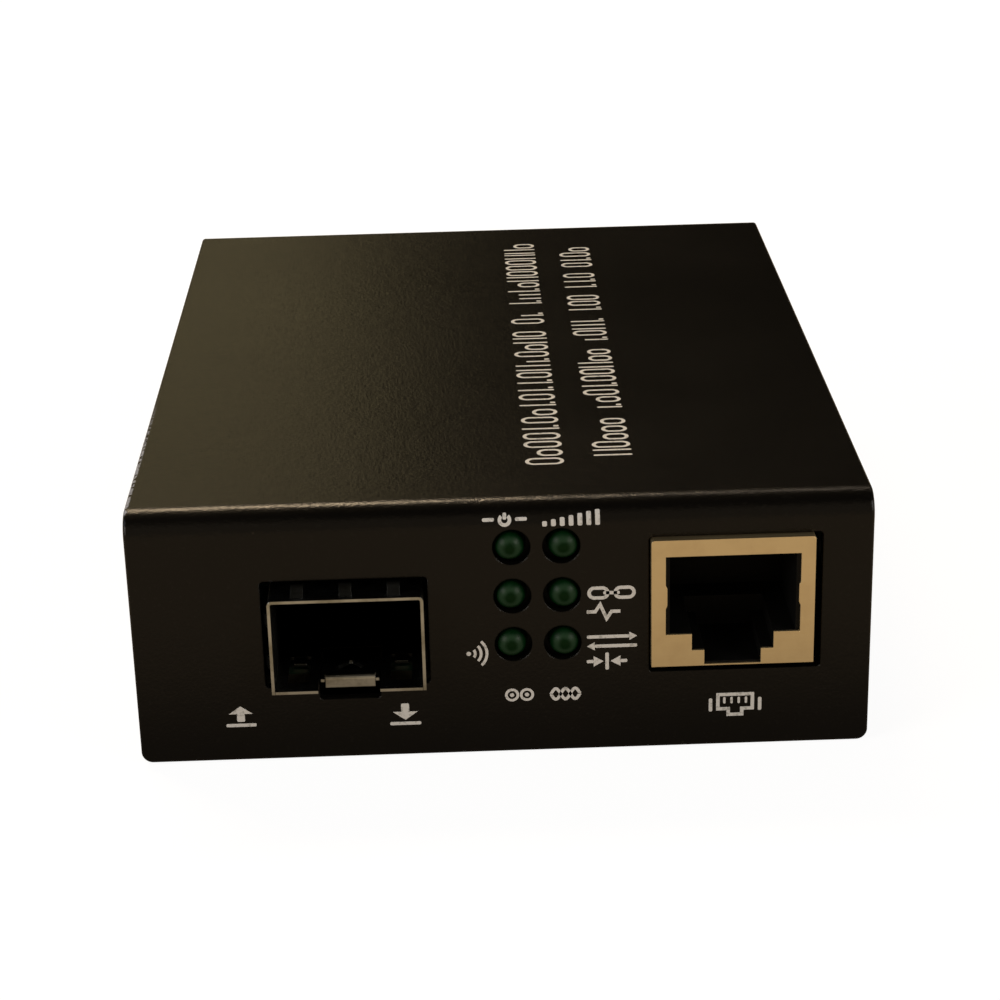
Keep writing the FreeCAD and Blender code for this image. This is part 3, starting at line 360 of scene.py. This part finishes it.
def makeMetal(name, clean, dull, roughness, shaded=False):
    material, tree, shader = newMaterial(name, metallic=1.0, roughness=roughness)
    roll = placeGroup(tree, rollGroup, Length=metalSkin["length"], Lines=metalSkin["lines"])
    edges = placeGroup(tree, edgeGroup, Width=metalSkin["edge"], Amount=metalSkin["edgeShare"])
    colour = mixColour(tree, roll.outputs["Tarnish"], clean, dull)
    colour = mixColour(tree, edges.outputs["Mask"], colour, clean)
    # painted shade deep in the cage and up its spring fingers
    if shaded:
        colour = mixColour(tree, cageShadeMask(tree), colour, cageShade["colour"])
    tree.links.new(colour, shader.inputs["Base Color"])
    spread = metalSkin["roughSpread"]
    roughInto(tree, shader, roll.outputs["Streak"], roughness - spread / 2, spread)
    bumpInto(tree, shader, roll.outputs["Streak"], metalSkin["bump"], edges.outputs["Normal"])
    return material


plastics = {
    # blackMoulding is painted darker than black plastic, as painted shade in the hollows inside the case
    "blackMoulding": {"dark": (0.0015, 0.0015, 0.0015), "light": (0.003, 0.003, 0.0028), "roughness": 0.55,
                      "specular": 0.15},
    "chipResin": {"dark": (0.014, 0.014, 0.015), "light": (0.030, 0.030, 0.031), "roughness": 0.62},
    "ferriteCore": {"dark": (0.045, 0.045, 0.048), "light": (0.085, 0.085, 0.09), "roughness": 0.70},
    "firedCeramic": {"dark": (0.36, 0.25, 0.14), "light": (0.50, 0.37, 0.23), "roughness": 0.48},
    "blackOxide": {"dark": (0.010, 0.010, 0.010), "light": (0.020, 0.019, 0.017), "roughness": 0.36},
}
mouldSkin = {"grain": 5200.0, "wave": 900.0, "edge": 0.12 * mm, "edgeShare": 0.6, "edgeBright": 1.8,
             "roughSpread": 0.15, "bump": 0.008 * mm}


def makePlastic(name, dark, light, roughness, specular=0.5):
    material, tree, shader = newMaterial(name, roughness=roughness, specular=specular)
    grain = placeGroup(tree, grainGroup, Grain=mouldSkin["grain"], Wave=mouldSkin["wave"])
    edges = placeGroup(tree, edgeGroup, Width=mouldSkin["edge"], Amount=mouldSkin["edgeShare"])
    edgeColour = tuple(mouldSkin["edgeBright"] * part for part in light)
    colour = mixColour(tree, grain.outputs["Cloud"], dark, light)
    colour = mixColour(tree, edges.outputs["Mask"], colour, edgeColour)
    tree.links.new(colour, shader.inputs["Base Color"])
    roughInto(tree, shader, grain.outputs["Fleck"], roughness, mouldSkin["roughSpread"])
    bumpInto(tree, shader, grain.outputs["Height"], mouldSkin["bump"], edges.outputs["Normal"])
    return material


# the board's colours are painted darker than solder mask and laminate, as painted shade inside the case
board = {
    "mask": (0.0015, 0.008, 0.003),
    "trace": (0.003, 0.013, 0.005),
    "edge": (0.015, 0.013, 0.008),
    "trackScale": 190.0,
    "trackGap": 0.09,
    "trackHeight": 0.03 * mm,
    "grain": 3000.0,
    "wave": 500.0,
    "roughness": 0.325,
    "roughSpread": 0.15,
}


def makeBoard():
    # green solder mask over copper tracks, bare laminate on the cut edges, all painted darker than their
    # own colours as painted shade inside the case
    material, tree, shader = newMaterial("boardLaminate", roughness=board["roughness"])
    tracks = tree.nodes.new("ShaderNodeTexBrick")
    tracks.inputs["Scale"].default_value = board["trackScale"]
    tracks.inputs["Mortar Size"].default_value = board["trackGap"]
    tracks.inputs["Color1"].default_value = (0, 0, 0, 1)
    tracks.inputs["Color2"].default_value = (0.15, 0.15, 0.15, 1)
    tracks.inputs["Mortar"].default_value = (1, 1, 1, 1)
    tree.links.new(objectPlace(tree), tracks.inputs["Vector"])
    normal = tree.nodes.new("ShaderNodeNewGeometry").outputs["True Normal"]
    tilt = mathNode(tree, "ABSOLUTE", splitVector(tree, normal)["Z"])
    flat = mathNode(tree, "GREATER_THAN", tilt, 0.5)
    colour = mixColour(tree, tracks.outputs["Color"], board["mask"], board["trace"])
    colour = mixColour(tree, flat, board["edge"], colour)
    tree.links.new(colour, shader.inputs["Base Color"])
    bumpInto(tree, shader, tracks.outputs["Fac"], board["trackHeight"])
    grain = placeGroup(tree, grainGroup, Grain=board["grain"], Wave=board["wave"])
    spread = board["roughSpread"]
    roughInto(tree, shader, grain.outputs["Cloud"], board["roughness"] - spread / 2, spread)
    return material


lens = {
    "core": (0.0004, 0.0130, 0.0018),
    # the paler ring is a painted highlight
    "highlightRing": (0.0150, 0.0400, 0.0190),
    "rim": (0.0006, 0.0140, 0.0026),
    "coreRadius": 0.09,  # radii are shares of the flange's width
    "ringRadius": 0.21,
    "rimStart": 0.23,
    "rimRadius": 0.34,
    "wobble": 0.08,
    "wobbleScale": 1400.0,
    "roughness": 0.30,
    "roughSpread": 0.14,
    "specular": 0.10,
}


def makeLens():
    # tinted epoxy: a dark cup in the middle, a paler ring round it painted as a highlight, and a deep green
    # rim
    material, tree, shader = newMaterial(
        "tintedEpoxy", roughness=lens["roughness"], specular=lens["specular"])
    parts = splitVector(tree, tree.nodes.new("ShaderNodeTexCoord").outputs["Generated"])
    across = mathNode(tree, "SUBTRACT", parts["X"], 0.5)
    up = mathNode(tree, "SUBTRACT", parts["Z"], 0.5)
    squares = mathNode(tree, "MULTIPLY_ADD", across, across, mathNode(tree, "MULTIPLY", up, up))
    radius = mathNode(tree, "SQRT", squares)
    wobble = noiseNode(tree, objectPlace(tree), lens["wobbleScale"], 2.0)
    sway = mathNode(tree, "SUBTRACT", wobble, 0.5)
    radius = mathNode(tree, "MULTIPLY_ADD", sway, lens["wobble"], radius)
    inner = stepNode(tree, radius, lens["coreRadius"], lens["ringRadius"])
    outer = stepNode(tree, radius, lens["rimStart"], lens["rimRadius"])
    colour = mixColour(tree, inner, lens["core"], lens["highlightRing"])
    colour = mixColour(tree, outer, colour, lens["rim"])
    tree.links.new(colour, shader.inputs["Base Color"])
    roughInto(tree, shader, wobble, lens["roughness"], lens["roughSpread"])
    return material


ink = {
    "face": (0.62, 0.62, 0.62),
    "thin": (0.40, 0.40, 0.39),
    "thinStart": 0.95,
    "thinEnd": 1.15,
    "grain": 3600.0,
    "wave": 1500.0,
    "bump": 0.01 * mm,
    "roughness": 0.5,
    "roughSpread": 0.2,
    "specular": 0.3,
}


def makeInk():
    # white screen print, thinner where the coat under it is high
    material, tree, shader = newMaterial("printInk", roughness=ink["roughness"], specular=ink["specular"])
    grain = placeGroup(tree, grainGroup, Grain=ink["grain"], Wave=ink["wave"])
    thin = stepNode(tree, grain.outputs["Height"], ink["thinStart"], ink["thinEnd"])
    colour = mixColour(tree, thin, ink["face"], ink["thin"])
    tree.links.new(colour, shader.inputs["Base Color"])
    spread = ink["roughSpread"]
    roughInto(tree, shader, grain.outputs["Cloud"], ink["roughness"] - spread / 2, spread)
    bumpInto(tree, shader, grain.outputs["Height"], ink["bump"])
    return material


finishes = {
    "powderCoat": makePaint(),
    "boardLaminate": makeBoard(),
    "tintedEpoxy": makeLens(),
    "printInk": makeInk(),
}
for finishName, values in metals.items():
    finishes[finishName] = makeMetal(finishName, **values)
for finishName, values in plastics.items():
    finishes[finishName] = makePlastic(finishName, **values)

finishOfSlot = {
    "case_paint": "powderCoat",
    "zinc_steel": "zincPlate",
    "black_screws": "blackOxide",
    "board_laminate": "boardLaminate",
    "cage_metal": "cageNickel",
    "jack_metal": "jackNickel",
    "contact_gold": "goldPlate",
    "black_plastic": "blackMoulding",
    "lamp_lens": "tintedEpoxy",
    "tinned_metal": "tinPlate",
    "black_resin": "chipResin",
    "can_metal": "drawnCan",
    "ferrite": "ferriteCore",
    "capacitor_ceramic": "firedCeramic",
    "print_ink": "printInk",
}


def dress(piece, finishName):
    piece.data.materials.clear()
    piece.data.materials.append(finishes[finishName])


for part in frame["record"]["subparts"]:
    dress(frame["nodes"][part["node"]], finishOfSlot[part["material_slot"]])
print("finishes made:", len(finishes))


lampShape = {"radius": 1.5 * mm, "flange": 1.9 * mm, "flangeHeight": 1.0 * mm, "sides": 48, "rings": 14}


def makeLamp(node):
    # a turned outline: dome, barrel and flange
    low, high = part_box(node)
    centre = middleOf(node)
    tip = low.y
    radius = lampShape["radius"]
    count = lampShape["sides"]
    outline = []
    for highlightRing in range(1, lampShape["rings"] + 1):
        angle = math.pi / 2 * highlightRing / lampShape["rings"]
        outline.append((tip + radius - radius * math.cos(angle), radius * math.sin(angle)))
    flangeFront = high.y - lampShape["flangeHeight"]
    outline += [(flangeFront, radius), (flangeFront, lampShape["flange"]), (high.y, lampShape["flange"])]
    mesh = bmesh.new()
    top = mesh.verts.new((centre.x, tip, centre.z))
    rows = []
    for y, reach in outline:
        row = []
        for side in range(count):
            angle = 2 * math.pi * side / count
            x = centre.x + reach * math.cos(angle)
            z = centre.z + reach * math.sin(angle)
            row.append(mesh.verts.new((x, y, z)))
        rows.append(row)
    for side in range(count):
        after = (side + 1) % count
        mesh.faces.new((top, rows[0][side], rows[0][after]))
        for near, far in zip(rows, rows[1:]):
            mesh.faces.new((near[side], far[side], far[after], near[after]))
    mesh.faces.new(rows[-1])
    bmesh.ops.recalc_face_normals(mesh, faces=mesh.faces)
    for face in mesh.faces:  # the dome and barrel are smooth, the flange is not
        face.smooth = face.calc_center_median().y < flangeFront - 0.01 * mm
    data = bpy.data.meshes.new(node + "Lens")
    mesh.to_mesh(data)
    mesh.free()
    piece = addToScene(node + "Lens", data)
    dress(piece, "tintedEpoxy")
    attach(piece, "chassis")
    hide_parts(node)


lampNodes = sorted(node for node in frame["nodes"] if node.startswith("lamp_") and node.count("_") == 2)
for node in lampNodes:
    makeLamp(node)
print("lamps made:", len(lampNodes))


coverFold = 2.4 * mm
printLayer = {"frontHeight": 0.02 * mm, "topHeight": 0.01 * mm, "round": 0.12 * mm, "foldStep": 0.12 * mm}
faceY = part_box("top_cover")[0].y
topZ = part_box("top_cover")[1].z


def roundedBlock(x, y, width, height, corner, steps):
    # an outline with four round corners, given by its middle
    points = []
    for signX, signY, start in ((1, 1, 0), (-1, 1, 90), (-1, -1, 180), (1, -1, 270)):
        middleX = x + signX * (width / 2 - corner)
        middleY = y + signY * (height / 2 - corner)
        for step in range(steps + 1):
            angle = math.radians(start + 90 * step / steps)
            points.append((middleX + corner * math.cos(angle), middleY + corner * math.sin(angle)))
    return points


def bar(x, y, width, height):
    # a block with slightly rounded corners
    return roundedBlock(x, y, width, height, min(printLayer["round"], width / 2.2, height / 2.2), 3)


def pill(x, y, width, height):
    # a block whose short ends are half circles
    return roundedBlock(x, y, width, height, min(width, height) / 2, 10)


def disc(x, y, radius):
    count = 36
    turns = [2 * math.pi * i / count for i in range(count)]
    return [(x + radius * math.cos(turn), y + radius * math.sin(turn)) for turn in turns]


def arc(x, y, radius, width, startDegrees, endDegrees, count=28):
    # a bent band, running from one angle to the other and back on its inner side
    sweep = endDegrees - startDegrees
    angles = [math.radians(startDegrees + sweep * i / count) for i in range(count + 1)]
    wide = radius + width / 2
    tight = radius - width / 2
    outer = [(x + wide * math.cos(angle), y + wide * math.sin(angle)) for angle in angles]
    inner = [(x + tight * math.cos(angle), y + tight * math.sin(angle)) for angle in angles]
    return outer + inner[::-1]


def stroke(points, width):
    # a bent line of even width, whose mitres reach out by the line's width at most
    left = []
    right = []
    last = len(points) - 1
    for i, point in enumerate(points):
        before = Vector(points[max(i - 1, 0)])
        after = Vector(points[min(i + 1, last)])
        here = Vector(point)
        inward = (here - before).normalized() if i else (after - here).normalized()
        outward = (after - here).normalized() if i < last else inward
        along = inward + outward
        normal = Vector((-along.y, along.x)).normalized()
        reach = width / 2 / max(0.5, normal.dot(Vector((-outward.y, outward.x))))
        left.append(tuple(here + normal * reach))
        right.append(tuple(here - normal * reach))
    return left + right[::-1]


def fillShape(loops, height):
    # the first loop is the outline, the others are its holes
    curve = bpy.data.curves.new("shape", "CURVE")
    curve.dimensions = "2D"
    curve.fill_mode = "BOTH"
    curve.extrude = height
    for loop in loops:
        spline = curve.splines.new("POLY")
        spline.points.add(len(loop) - 1)
        for point, (x, y) in zip(spline.points, loop):
            point.co = (x, y, 0, 1)
        spline.use_cyclic_u = True
    drawn = addToScene("shape", curve)
    data = bpy.data.meshes.new_from_object(drawn.evaluated_get(bpy.context.evaluated_depsgraph_get()))
    bpy.data.objects.remove(drawn)
    bpy.data.curves.remove(curve)
    return data


def wrapOverFold(mesh):
    # what lies above the flat panel follows the cover's fold
    start = topZ - coverFold
    level = start
    while level < topZ:
        whole = mesh.verts[:] + mesh.edges[:] + mesh.faces[:]
        bmesh.ops.bisect_plane(mesh, geom=whole, plane_co=(0, 0, level), plane_no=(0, 0, 1))
        level += printLayer["foldStep"]
    for vert in mesh.verts:
        if vert.co.z > start:
            angle = (vert.co.z - start) / coverFold
            reach = coverFold + faceY - vert.co.y
            vert.co.z = start + reach * math.sin(angle)
            vert.co.y = faceY + coverFold - reach * math.cos(angle)


def makePrint(name, shapes, place, height, overFold=False):
    mesh = bmesh.new()
    for loops in shapes:
        data = fillShape(loops, height)
        mesh.from_mesh(data)
        bpy.data.meshes.remove(data)
    mesh.transform(place)
    if overFold:
        wrapOverFold(mesh)
    data = bpy.data.meshes.new(name)
    mesh.to_mesh(data)
    mesh.free()
    piece = addToScene(name, data)
    dress(piece, "printInk")
    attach(piece, "chassis")


onFront = Matrix.Translation((0, faceY, 0)) @ Matrix.Rotation(math.pi / 2, 4, "X")
onTop = Matrix.Translation((0, 0, topZ)) @ Matrix.Rotation(math.pi / 2, 4, "Z")
signLine = 0.34 * mm
signDetail = {
    "dashGap": 0.35 * mm,
    "ringDrop": 0.06 * mm,
    "waveLine": 0.27 * mm,
    "waveStart": 0.62 * mm,
    "waveStep": 0.56 * mm,
    "waveDot": 0.22 * mm,
    "fibreLine": 0.26 * mm,
    "wireLine": 0.30 * mm,
    "contactLine": 0.24 * mm,
}


def powerSign(x, z, width, height):
    # a broken ring round a bar, between two dashes
    highlightRing = height / 2 - signLine / 2
    dash = (width - height) / 2 - signDetail["dashGap"]
    shapes = [[arc(x, z - signDetail["ringDrop"], highlightRing, signLine, 130, 410)]]
    shapes.append([bar(x, z + height * 0.24, signLine, height * 0.52)])
    for hand in (-1, 1):
        shapes.append([bar(x + hand * (width - dash) / 2, z, dash, signLine)])
    return shapes


def speedSign(x, z, width, height):
    # rising bars
    count = 7
    pitch = width / count
    shapes = []
    for i in range(count):
        tall = height * (0.34 + 0.66 * i / (count - 1))
        middle = x - width / 2 + pitch * (i + 0.5)
        shapes.append([bar(middle, z - height / 2 + tall / 2, pitch * 0.54, tall)])
    return shapes


def linkSign(x, z, width, height):
    # two chain links joined by a bar
    long = width * 0.46
    tall = height * 0.72
    shapes = []
    for hand in (-1, 1):
        middle = x + hand * (width - long) / 2
        hole = pill(middle, z, long - 2 * signLine, tall - 2 * signLine)
        shapes.append([pill(middle, z, long, tall), hole])
    shapes.append([bar(x, z, width * 0.34, signLine)])
    return shapes


def activitySign(x, z, width, height):
    # a pulse on a line
    half = width / 2
    tall = height / 2
    points = [(-half, 0), (-half * 0.5, 0), (-half * 0.2, tall)]
    points += [(half * 0.18, -tall), (half * 0.48, 0), (half, 0)]
    return [[stroke([(x + a, z + b) for a, b in points], signLine)]]


def arrow(x, z, reach, tall, hand):
    # a line with a head, pointing to one side
    head = tall * 0.85
    tip = x + hand * reach / 2
    root = tip - hand * head
    return [[bar(x - hand * head / 2, z, reach - head, signLine)],
            [[(tip, z), (root, z + tall / 2), (root, z - tall / 2)]]]


def duplexSign(x, z, width, height):
    # two arrows passing each other
    tall = height * 0.46
    return arrow(x, z + height * 0.26, width, tall, 1) + arrow(x, z - height * 0.26, width, tall, -1)


def clashSign(x, z, width, height):
    # two arrows meeting at a bar
    reach = width / 2 - signLine
    shapes = [[bar(x, z, signLine, height)]]
    for hand in (1, -1):
        shapes += arrow(x - hand * (reach / 2 + signLine), z, reach, height * 0.62, hand)
    return shapes


def signalSign(x, z, width, height):
    # waves leaving a point
    source = x - width * 0.42
    shapes = [[disc(source, z, signDetail["waveDot"])]]
    for i in range(3):
        radius = signDetail["waveStart"] + i * signDetail["waveStep"]
        half = 38 + 4 * i
        shapes.append([arc(source, z, radius, signDetail["waveLine"], -half, half, 14)])
    return shapes


def fibreSign(x, z, width, height):
    # two round fibre ends side by side, each with its core
    radius = height * 0.36
    shapes = []
    for hand in (-1, 1):
        middle = x + hand * (width / 2 - radius)
        shapes.append([disc(middle, z, radius), disc(middle, z, radius - signDetail["fibreLine"])])
        shapes.append([disc(middle, z, radius * 0.3)])
    return shapes


def pairSign(x, z, width, height):
    # two wires twisted round each other in three half turns
    steps = 30
    shapes = []
    for hand in (1, -1):
        points = []
        for i in range(steps + 1):
            rise = hand * height * 0.30 * math.sin(i / steps * 3 * math.pi)
            points.append((x - width / 2 + width * i / steps, z + rise))
        shapes.append([stroke(points, signDetail["wireLine"])])
    return shapes


def directionSign(x, z, width, height, hand):
    # a block arrow leaving or meeting a base line
    low = z - height / 2
    floor = low + 1.6 * signLine
    tip, root = (low + height, floor) if hand > 0 else (floor, low + height)
    neck = (tip + root) / 2
    head = [(x, tip), (x - width * 0.4, neck), (x + width * 0.4, neck)]
    return [[head], [bar(x, (neck + root) / 2, width * 0.26, abs(neck - root))],
            [bar(x, low + signLine / 2, width, signLine)]]


def portSign(x, z, width, height):
    # the outline of a network port with its contacts, between two short bars
    half = width * 0.36
    tall = height / 2
    latch = half * 0.45
    shoulder = z - tall * 0.5
    outer = [(x - half, shoulder), (x - latch, shoulder), (x - latch, z - tall), (x + latch, z - tall),
             (x + latch, shoulder), (x + half, shoulder), (x + half, z + tall), (x - half, z + tall)]
    inner = [(a - math.copysign(signLine, a - x), b - math.copysign(signLine, b - z)) for a, b in outer]
    shapes = [[outer, inner]]
    for i in range(4):
        middle = x + (i - 1.5) * half * 0.38
        shapes.append([bar(middle, z + tall * 0.36, signDetail["contactLine"], tall * 0.56)])
    for hand in (-1, 1):
        shapes.append([bar(x + hand * (width - signLine) / 2, z, signLine, height * 0.56)])
    return shapes


lampMiddle = sum((middleOf(node) for node in lampNodes), Vector()) / len(lampNodes)
rowTop = middleOf("lamp_top_left").z
rowMiddle = middleOf("lamp_middle_left").z
rowBottom = middleOf("lamp_bottom_left").z
cageMiddle = middleOf("sfp_cage")
jackMiddle = middleOf("rj45_shield")

frontSigns = {
    "powerPrint": powerSign(lampMiddle.x - 2.93 * mm, rowTop + 2.82 * mm, 4.2 * mm, 1.28 * mm),
    "speedPrint": speedSign(lampMiddle.x + 3.3 * mm, rowTop + 2.78 * mm, 5.8 * mm, 1.5 * mm),
    "linkPrint": linkSign(lampMiddle.x + 7.04 * mm, rowMiddle + 0.05 * mm, 4.6 * mm, 1.9 * mm),
    "activityPrint": activitySign(lampMiddle.x + 6.27 * mm, rowMiddle - 1.9 * mm, 3.2 * mm, 1.5 * mm),
    "duplexPrint": duplexSign(lampMiddle.x + 7.06 * mm, rowBottom, 4.8 * mm, 1.9 * mm),
    "clashPrint": clashSign(lampMiddle.x + 6.57 * mm, rowBottom - 2.1 * mm, 3.9 * mm, 1.8 * mm),
    "signalPrint": signalSign(lampMiddle.x - 5.77 * mm, rowBottom - 0.86 * mm, 2.1 * mm, 1.7 * mm),
    "fibrePrint": fibreSign(lampMiddle.x - 1.89 * mm, rowBottom - 5.4 * mm, 2.8 * mm, 1.9 * mm),
    "pairPrint": pairSign(lampMiddle.x + 2.54 * mm, rowBottom - 5.44 * mm, 2.8 * mm, 1.9 * mm),
    "sendPrint": directionSign(cageMiddle.x - 10.48 * mm, 4.93 * mm, 2.9 * mm, 2.2 * mm, 1),
    "receivePrint": directionSign(cageMiddle.x + 5.34 * mm, 4.61 * mm, 3.0 * mm, 2.3 * mm, -1),
    "portPrint": portSign(jackMiddle.x + 0.4 * mm, 4.51 * mm, 5.1 * mm, 2.5 * mm),
}
foldSigns = ("powerPrint", "speedPrint")  # these two reach up to the fold
for signName, shapes in frontSigns.items():
    makePrint(signName, shapes, onFront, printLayer["frontHeight"], overFold=signName in foldSigns)


topRows = {
    "longRowPrint": {"middle": 4.7 * mm, "start": -37.1 * mm, "end": 38.5 * mm, "height": 3.8 * mm,
                     "groups": (18, 2, 11), "seed": 4},
    "shortRowPrint": {"middle": 11.45 * mm, "start": -35.2 * mm, "end": 36.4 * mm, "height": 3.8 * mm,
                      "groups": (5, 9, 4, 3, 3, 4), "seed": 9},
}
streamShape = {"line": 0.34 * mm, "wide": 0.78, "short": 0.68, "loops": 0.5, "loopsAndPairs": 0.75}


def streamRow(middle, start, end, height, groups, seed):
    # a data stream: groups of tall and short loops and paired bars on one base line
    chance = random.Random(seed)
    cells = sum(groups) + len(groups) - 1
    pitch = (end - start) / cells
    line = streamShape["line"]
    base = -middle - height / 2
    shapes = []
    cell = 0
    for count in groups:
        for _ in range(count):
            along = start + (cell + 0.5) * pitch
            tall = height * chance.choice((1.0, 1.0, streamShape["short"]))
            wide = pitch * streamShape["wide"]
            level = base + tall / 2
            kind = chance.random()
            if kind < streamShape["loops"]:
                hole = pill(along, level, wide - 2 * line, tall - 2.2 * line)
                shapes.append([pill(along, level, wide, tall), hole])
            elif kind < streamShape["loopsAndPairs"]:
                for hand in (-1, 1):
                    shapes.append([bar(along + hand * (wide - line) / 2, level, line, tall)])
            else:
                shapes.append([bar(along - wide * 0.1, level, line, tall)])
                shapes.append([bar(along + wide * 0.28, base + line, line * 1.2, line * 1.6)])
            cell += 1
        cell += 1
    return shapes


for rowName, values in topRows.items():
    makePrint(rowName, streamRow(**values), onTop, printLayer["topHeight"])
print("print laid on the case")


view = {
    "azimuth": -1.027,
    "elevation": 22.312,
    "roll": -1.434,
    "distance": 281.48 * mm,
    "acrossShift": 1.043 * mm,
    "upShift": -5.234 * mm,
    "sensor": 36.0,
    "lens": 89.99,
    "clipStart": 10.0 * mm,
}


def makeCamera():
    aim = Vector((0, 0, cadBox[1][2] / 2))
    azimuth = math.radians(view["azimuth"])
    elevation = math.radians(view["elevation"])
    back = Vector((math.sin(azimuth) * math.cos(elevation), -math.cos(azimuth) * math.cos(elevation),
                   math.sin(elevation)))
    right = (-back).cross(Vector((0, 0, 1))).normalized()
    up = right.cross(-back)
    roll = math.radians(view["roll"])
    rolledRight = math.cos(roll) * right + math.sin(roll) * up
    rolledUp = -math.sin(roll) * right + math.cos(roll) * up
    place = aim + back * view["distance"] + rolledRight * view["acrossShift"] + rolledUp * view["upShift"]
    data = bpy.data.cameras.new("viewCamera")
    data.sensor_width = view["sensor"]
    data.lens = view["lens"]
    data.clip_start = view["clipStart"]
    camera = addToScene("viewCamera", data)
    turn = Matrix((rolledRight, rolledUp, back)).transposed().to_4x4()
    camera.matrix_world = Matrix.Translation(place) @ turn
    bpy.context.scene.camera = camera


studio = {
    "floorSize": 12.0,
    "floorDrop": 0.02 * mm,
    "floorRoughness": 0.9,
    "floorSeen": 0.14,
    "floorGlow": 0.93,
    "floorFelt": (0.46, 0.34, 0.21),
    "floorNear": (0.16, 0.125, 0.09),
    "nearReach": 34.0 * mm,
    "worldSeen": (1.0, 1.0, 1.0),
    "worldDark": (0.007, 0.006, 0.0045),
    "worldFront": (0.28, 0.22, 0.15),
}

# each card faces the case: azimuth from the back, to the left is minus, and height above its front edge
softLights = {
    "sheenStrip": {"azimuth": -26.0, "elevation": 50.0, "distance": 1.2, "size": (0.75, 0.10), "power": 8.5,
                   "colour": (1.0, 0.77, 0.49)},
    "fillStrip": {"azimuth": 12.0, "elevation": 50.0, "distance": 1.2, "size": (1.3, 0.10), "power": 1.6,
                  "colour": (1.0, 0.82, 0.64)},
    "lowLeft": {"azimuth": -36.0, "elevation": 20.0, "distance": 1.2, "size": (1.5, 0.30), "power": 0.80,
                "colour": (1.0, 0.82, 0.42)},
    "sideLeft": {"azimuth": -90.0, "elevation": 25.0, "distance": 1.0, "size": (0.5, 0.4), "power": 1.0,
                 "colour": (0.6, 0.75, 1.0)},
    "frontLeft": {"azimuth": -122.0, "elevation": 22.0, "distance": 1.1, "size": (0.5, 0.5), "power": 5.0,
                  "colour": (1.0, 0.95, 0.88)},
    "frontRight": {"azimuth": 122.0, "elevation": 22.0, "distance": 1.1, "size": (0.5, 0.5), "power": 5.0,
                   "colour": (1.0, 0.95, 0.88)},
}


def makeFloor():
    half = studio["floorSize"] / 2
    corners = [(-half, -half, 0), (half, -half, 0), (half, half, 0), (-half, half, 0)]
    data = bpy.data.meshes.new("paleFloor")
    data.from_pydata(corners, [], [(0, 1, 2, 3)])
    floor = addToScene("paleFloor", data)
    floor.location.z = -studio["floorDrop"]
    material = bpy.data.materials.new("palePaper")
    material.use_nodes = True
    tree = material.node_tree
    shader = tree.nodes["Principled BSDF"]
    shader.inputs["Roughness"].default_value = studio["floorRoughness"]
    shader.inputs["Specular IOR Level"].default_value = 0.0
    seen = tree.nodes.new("ShaderNodeLightPath").outputs["Is Camera Ray"]
    # the paper glows less close to the case, where the case shades it
    parts = splitVector(tree, objectPlace(tree))
    high = cadBox[1]
    besideX = mathNode(tree, "SUBTRACT", mathNode(tree, "ABSOLUTE", parts["X"]), high[0])
    besideY = mathNode(tree, "SUBTRACT", mathNode(tree, "ABSOLUTE", parts["Y"]), high[1])
    away = stepNode(tree, mathNode(tree, "MAXIMUM", besideX, besideY), 0.0, studio["nearReach"])
    felt = mixColour(tree, away, studio["floorNear"], studio["floorFelt"])
    glow = (studio["floorGlow"],) * 3
    pale = (studio["floorSeen"],) * 3
    tree.links.new(mixColour(tree, seen, (0, 0, 0), pale), shader.inputs["Base Color"])
    tree.links.new(mixColour(tree, seen, felt, glow), shader.inputs["Emission Color"])
    shader.inputs["Emission Strength"].default_value = 1.0
    floor.data.materials.append(material)


def makeWorld():
    # a dark room with a pale wall low in front
    world = bpy.data.worlds.new("softRoom")
    world.use_nodes = True
    tree = world.node_tree
    parts = splitVector(tree, tree.nodes.new("ShaderNodeTexCoord").outputs["Generated"])
    front = stepNode(tree, mathNode(tree, "MULTIPLY", parts["Y"], -1.0), 0.1, 0.5)
    low = stepNode(tree, parts["Z"], 0.90, 0.55)
    wall = mathNode(tree, "MULTIPLY", front, low)
    felt = mixColour(tree, wall, studio["worldDark"], studio["worldFront"])
    seen = tree.nodes.new("ShaderNodeLightPath").outputs["Is Camera Ray"]
    colour = mixColour(tree, seen, felt, studio["worldSeen"])
    tree.links.new(colour, tree.nodes["Background"].inputs["Color"])
    bpy.context.scene.world = world


def makeLight(name, azimuth, elevation, distance, size, power, colour):
    turn = math.radians(azimuth)
    rise = math.radians(elevation)
    towards = Vector((math.sin(turn) * math.cos(rise), math.cos(turn) * math.cos(rise), math.sin(rise)))
    aim = Vector((0, faceY, topZ))
    data = bpy.data.lights.new(name, "AREA")
    data.shape = "RECTANGLE"
    data.size, data.size_y = size
    data.energy = power
    data.color = colour
    light = addToScene(name, data)
    light.location = aim + distance * towards
    light.rotation_euler = (aim - light.location).to_track_quat("-Z", "Y").to_euler()
    light.visible_camera = False


makeCamera()
makeFloor()
makeWorld()
for lightName, values in softLights.items():
    makeLight(lightName, **values)
bpy.context.scene.view_settings.view_transform = "Standard"
bpy.context.scene.view_settings.look = "None"
print("camera, floor and lights set")
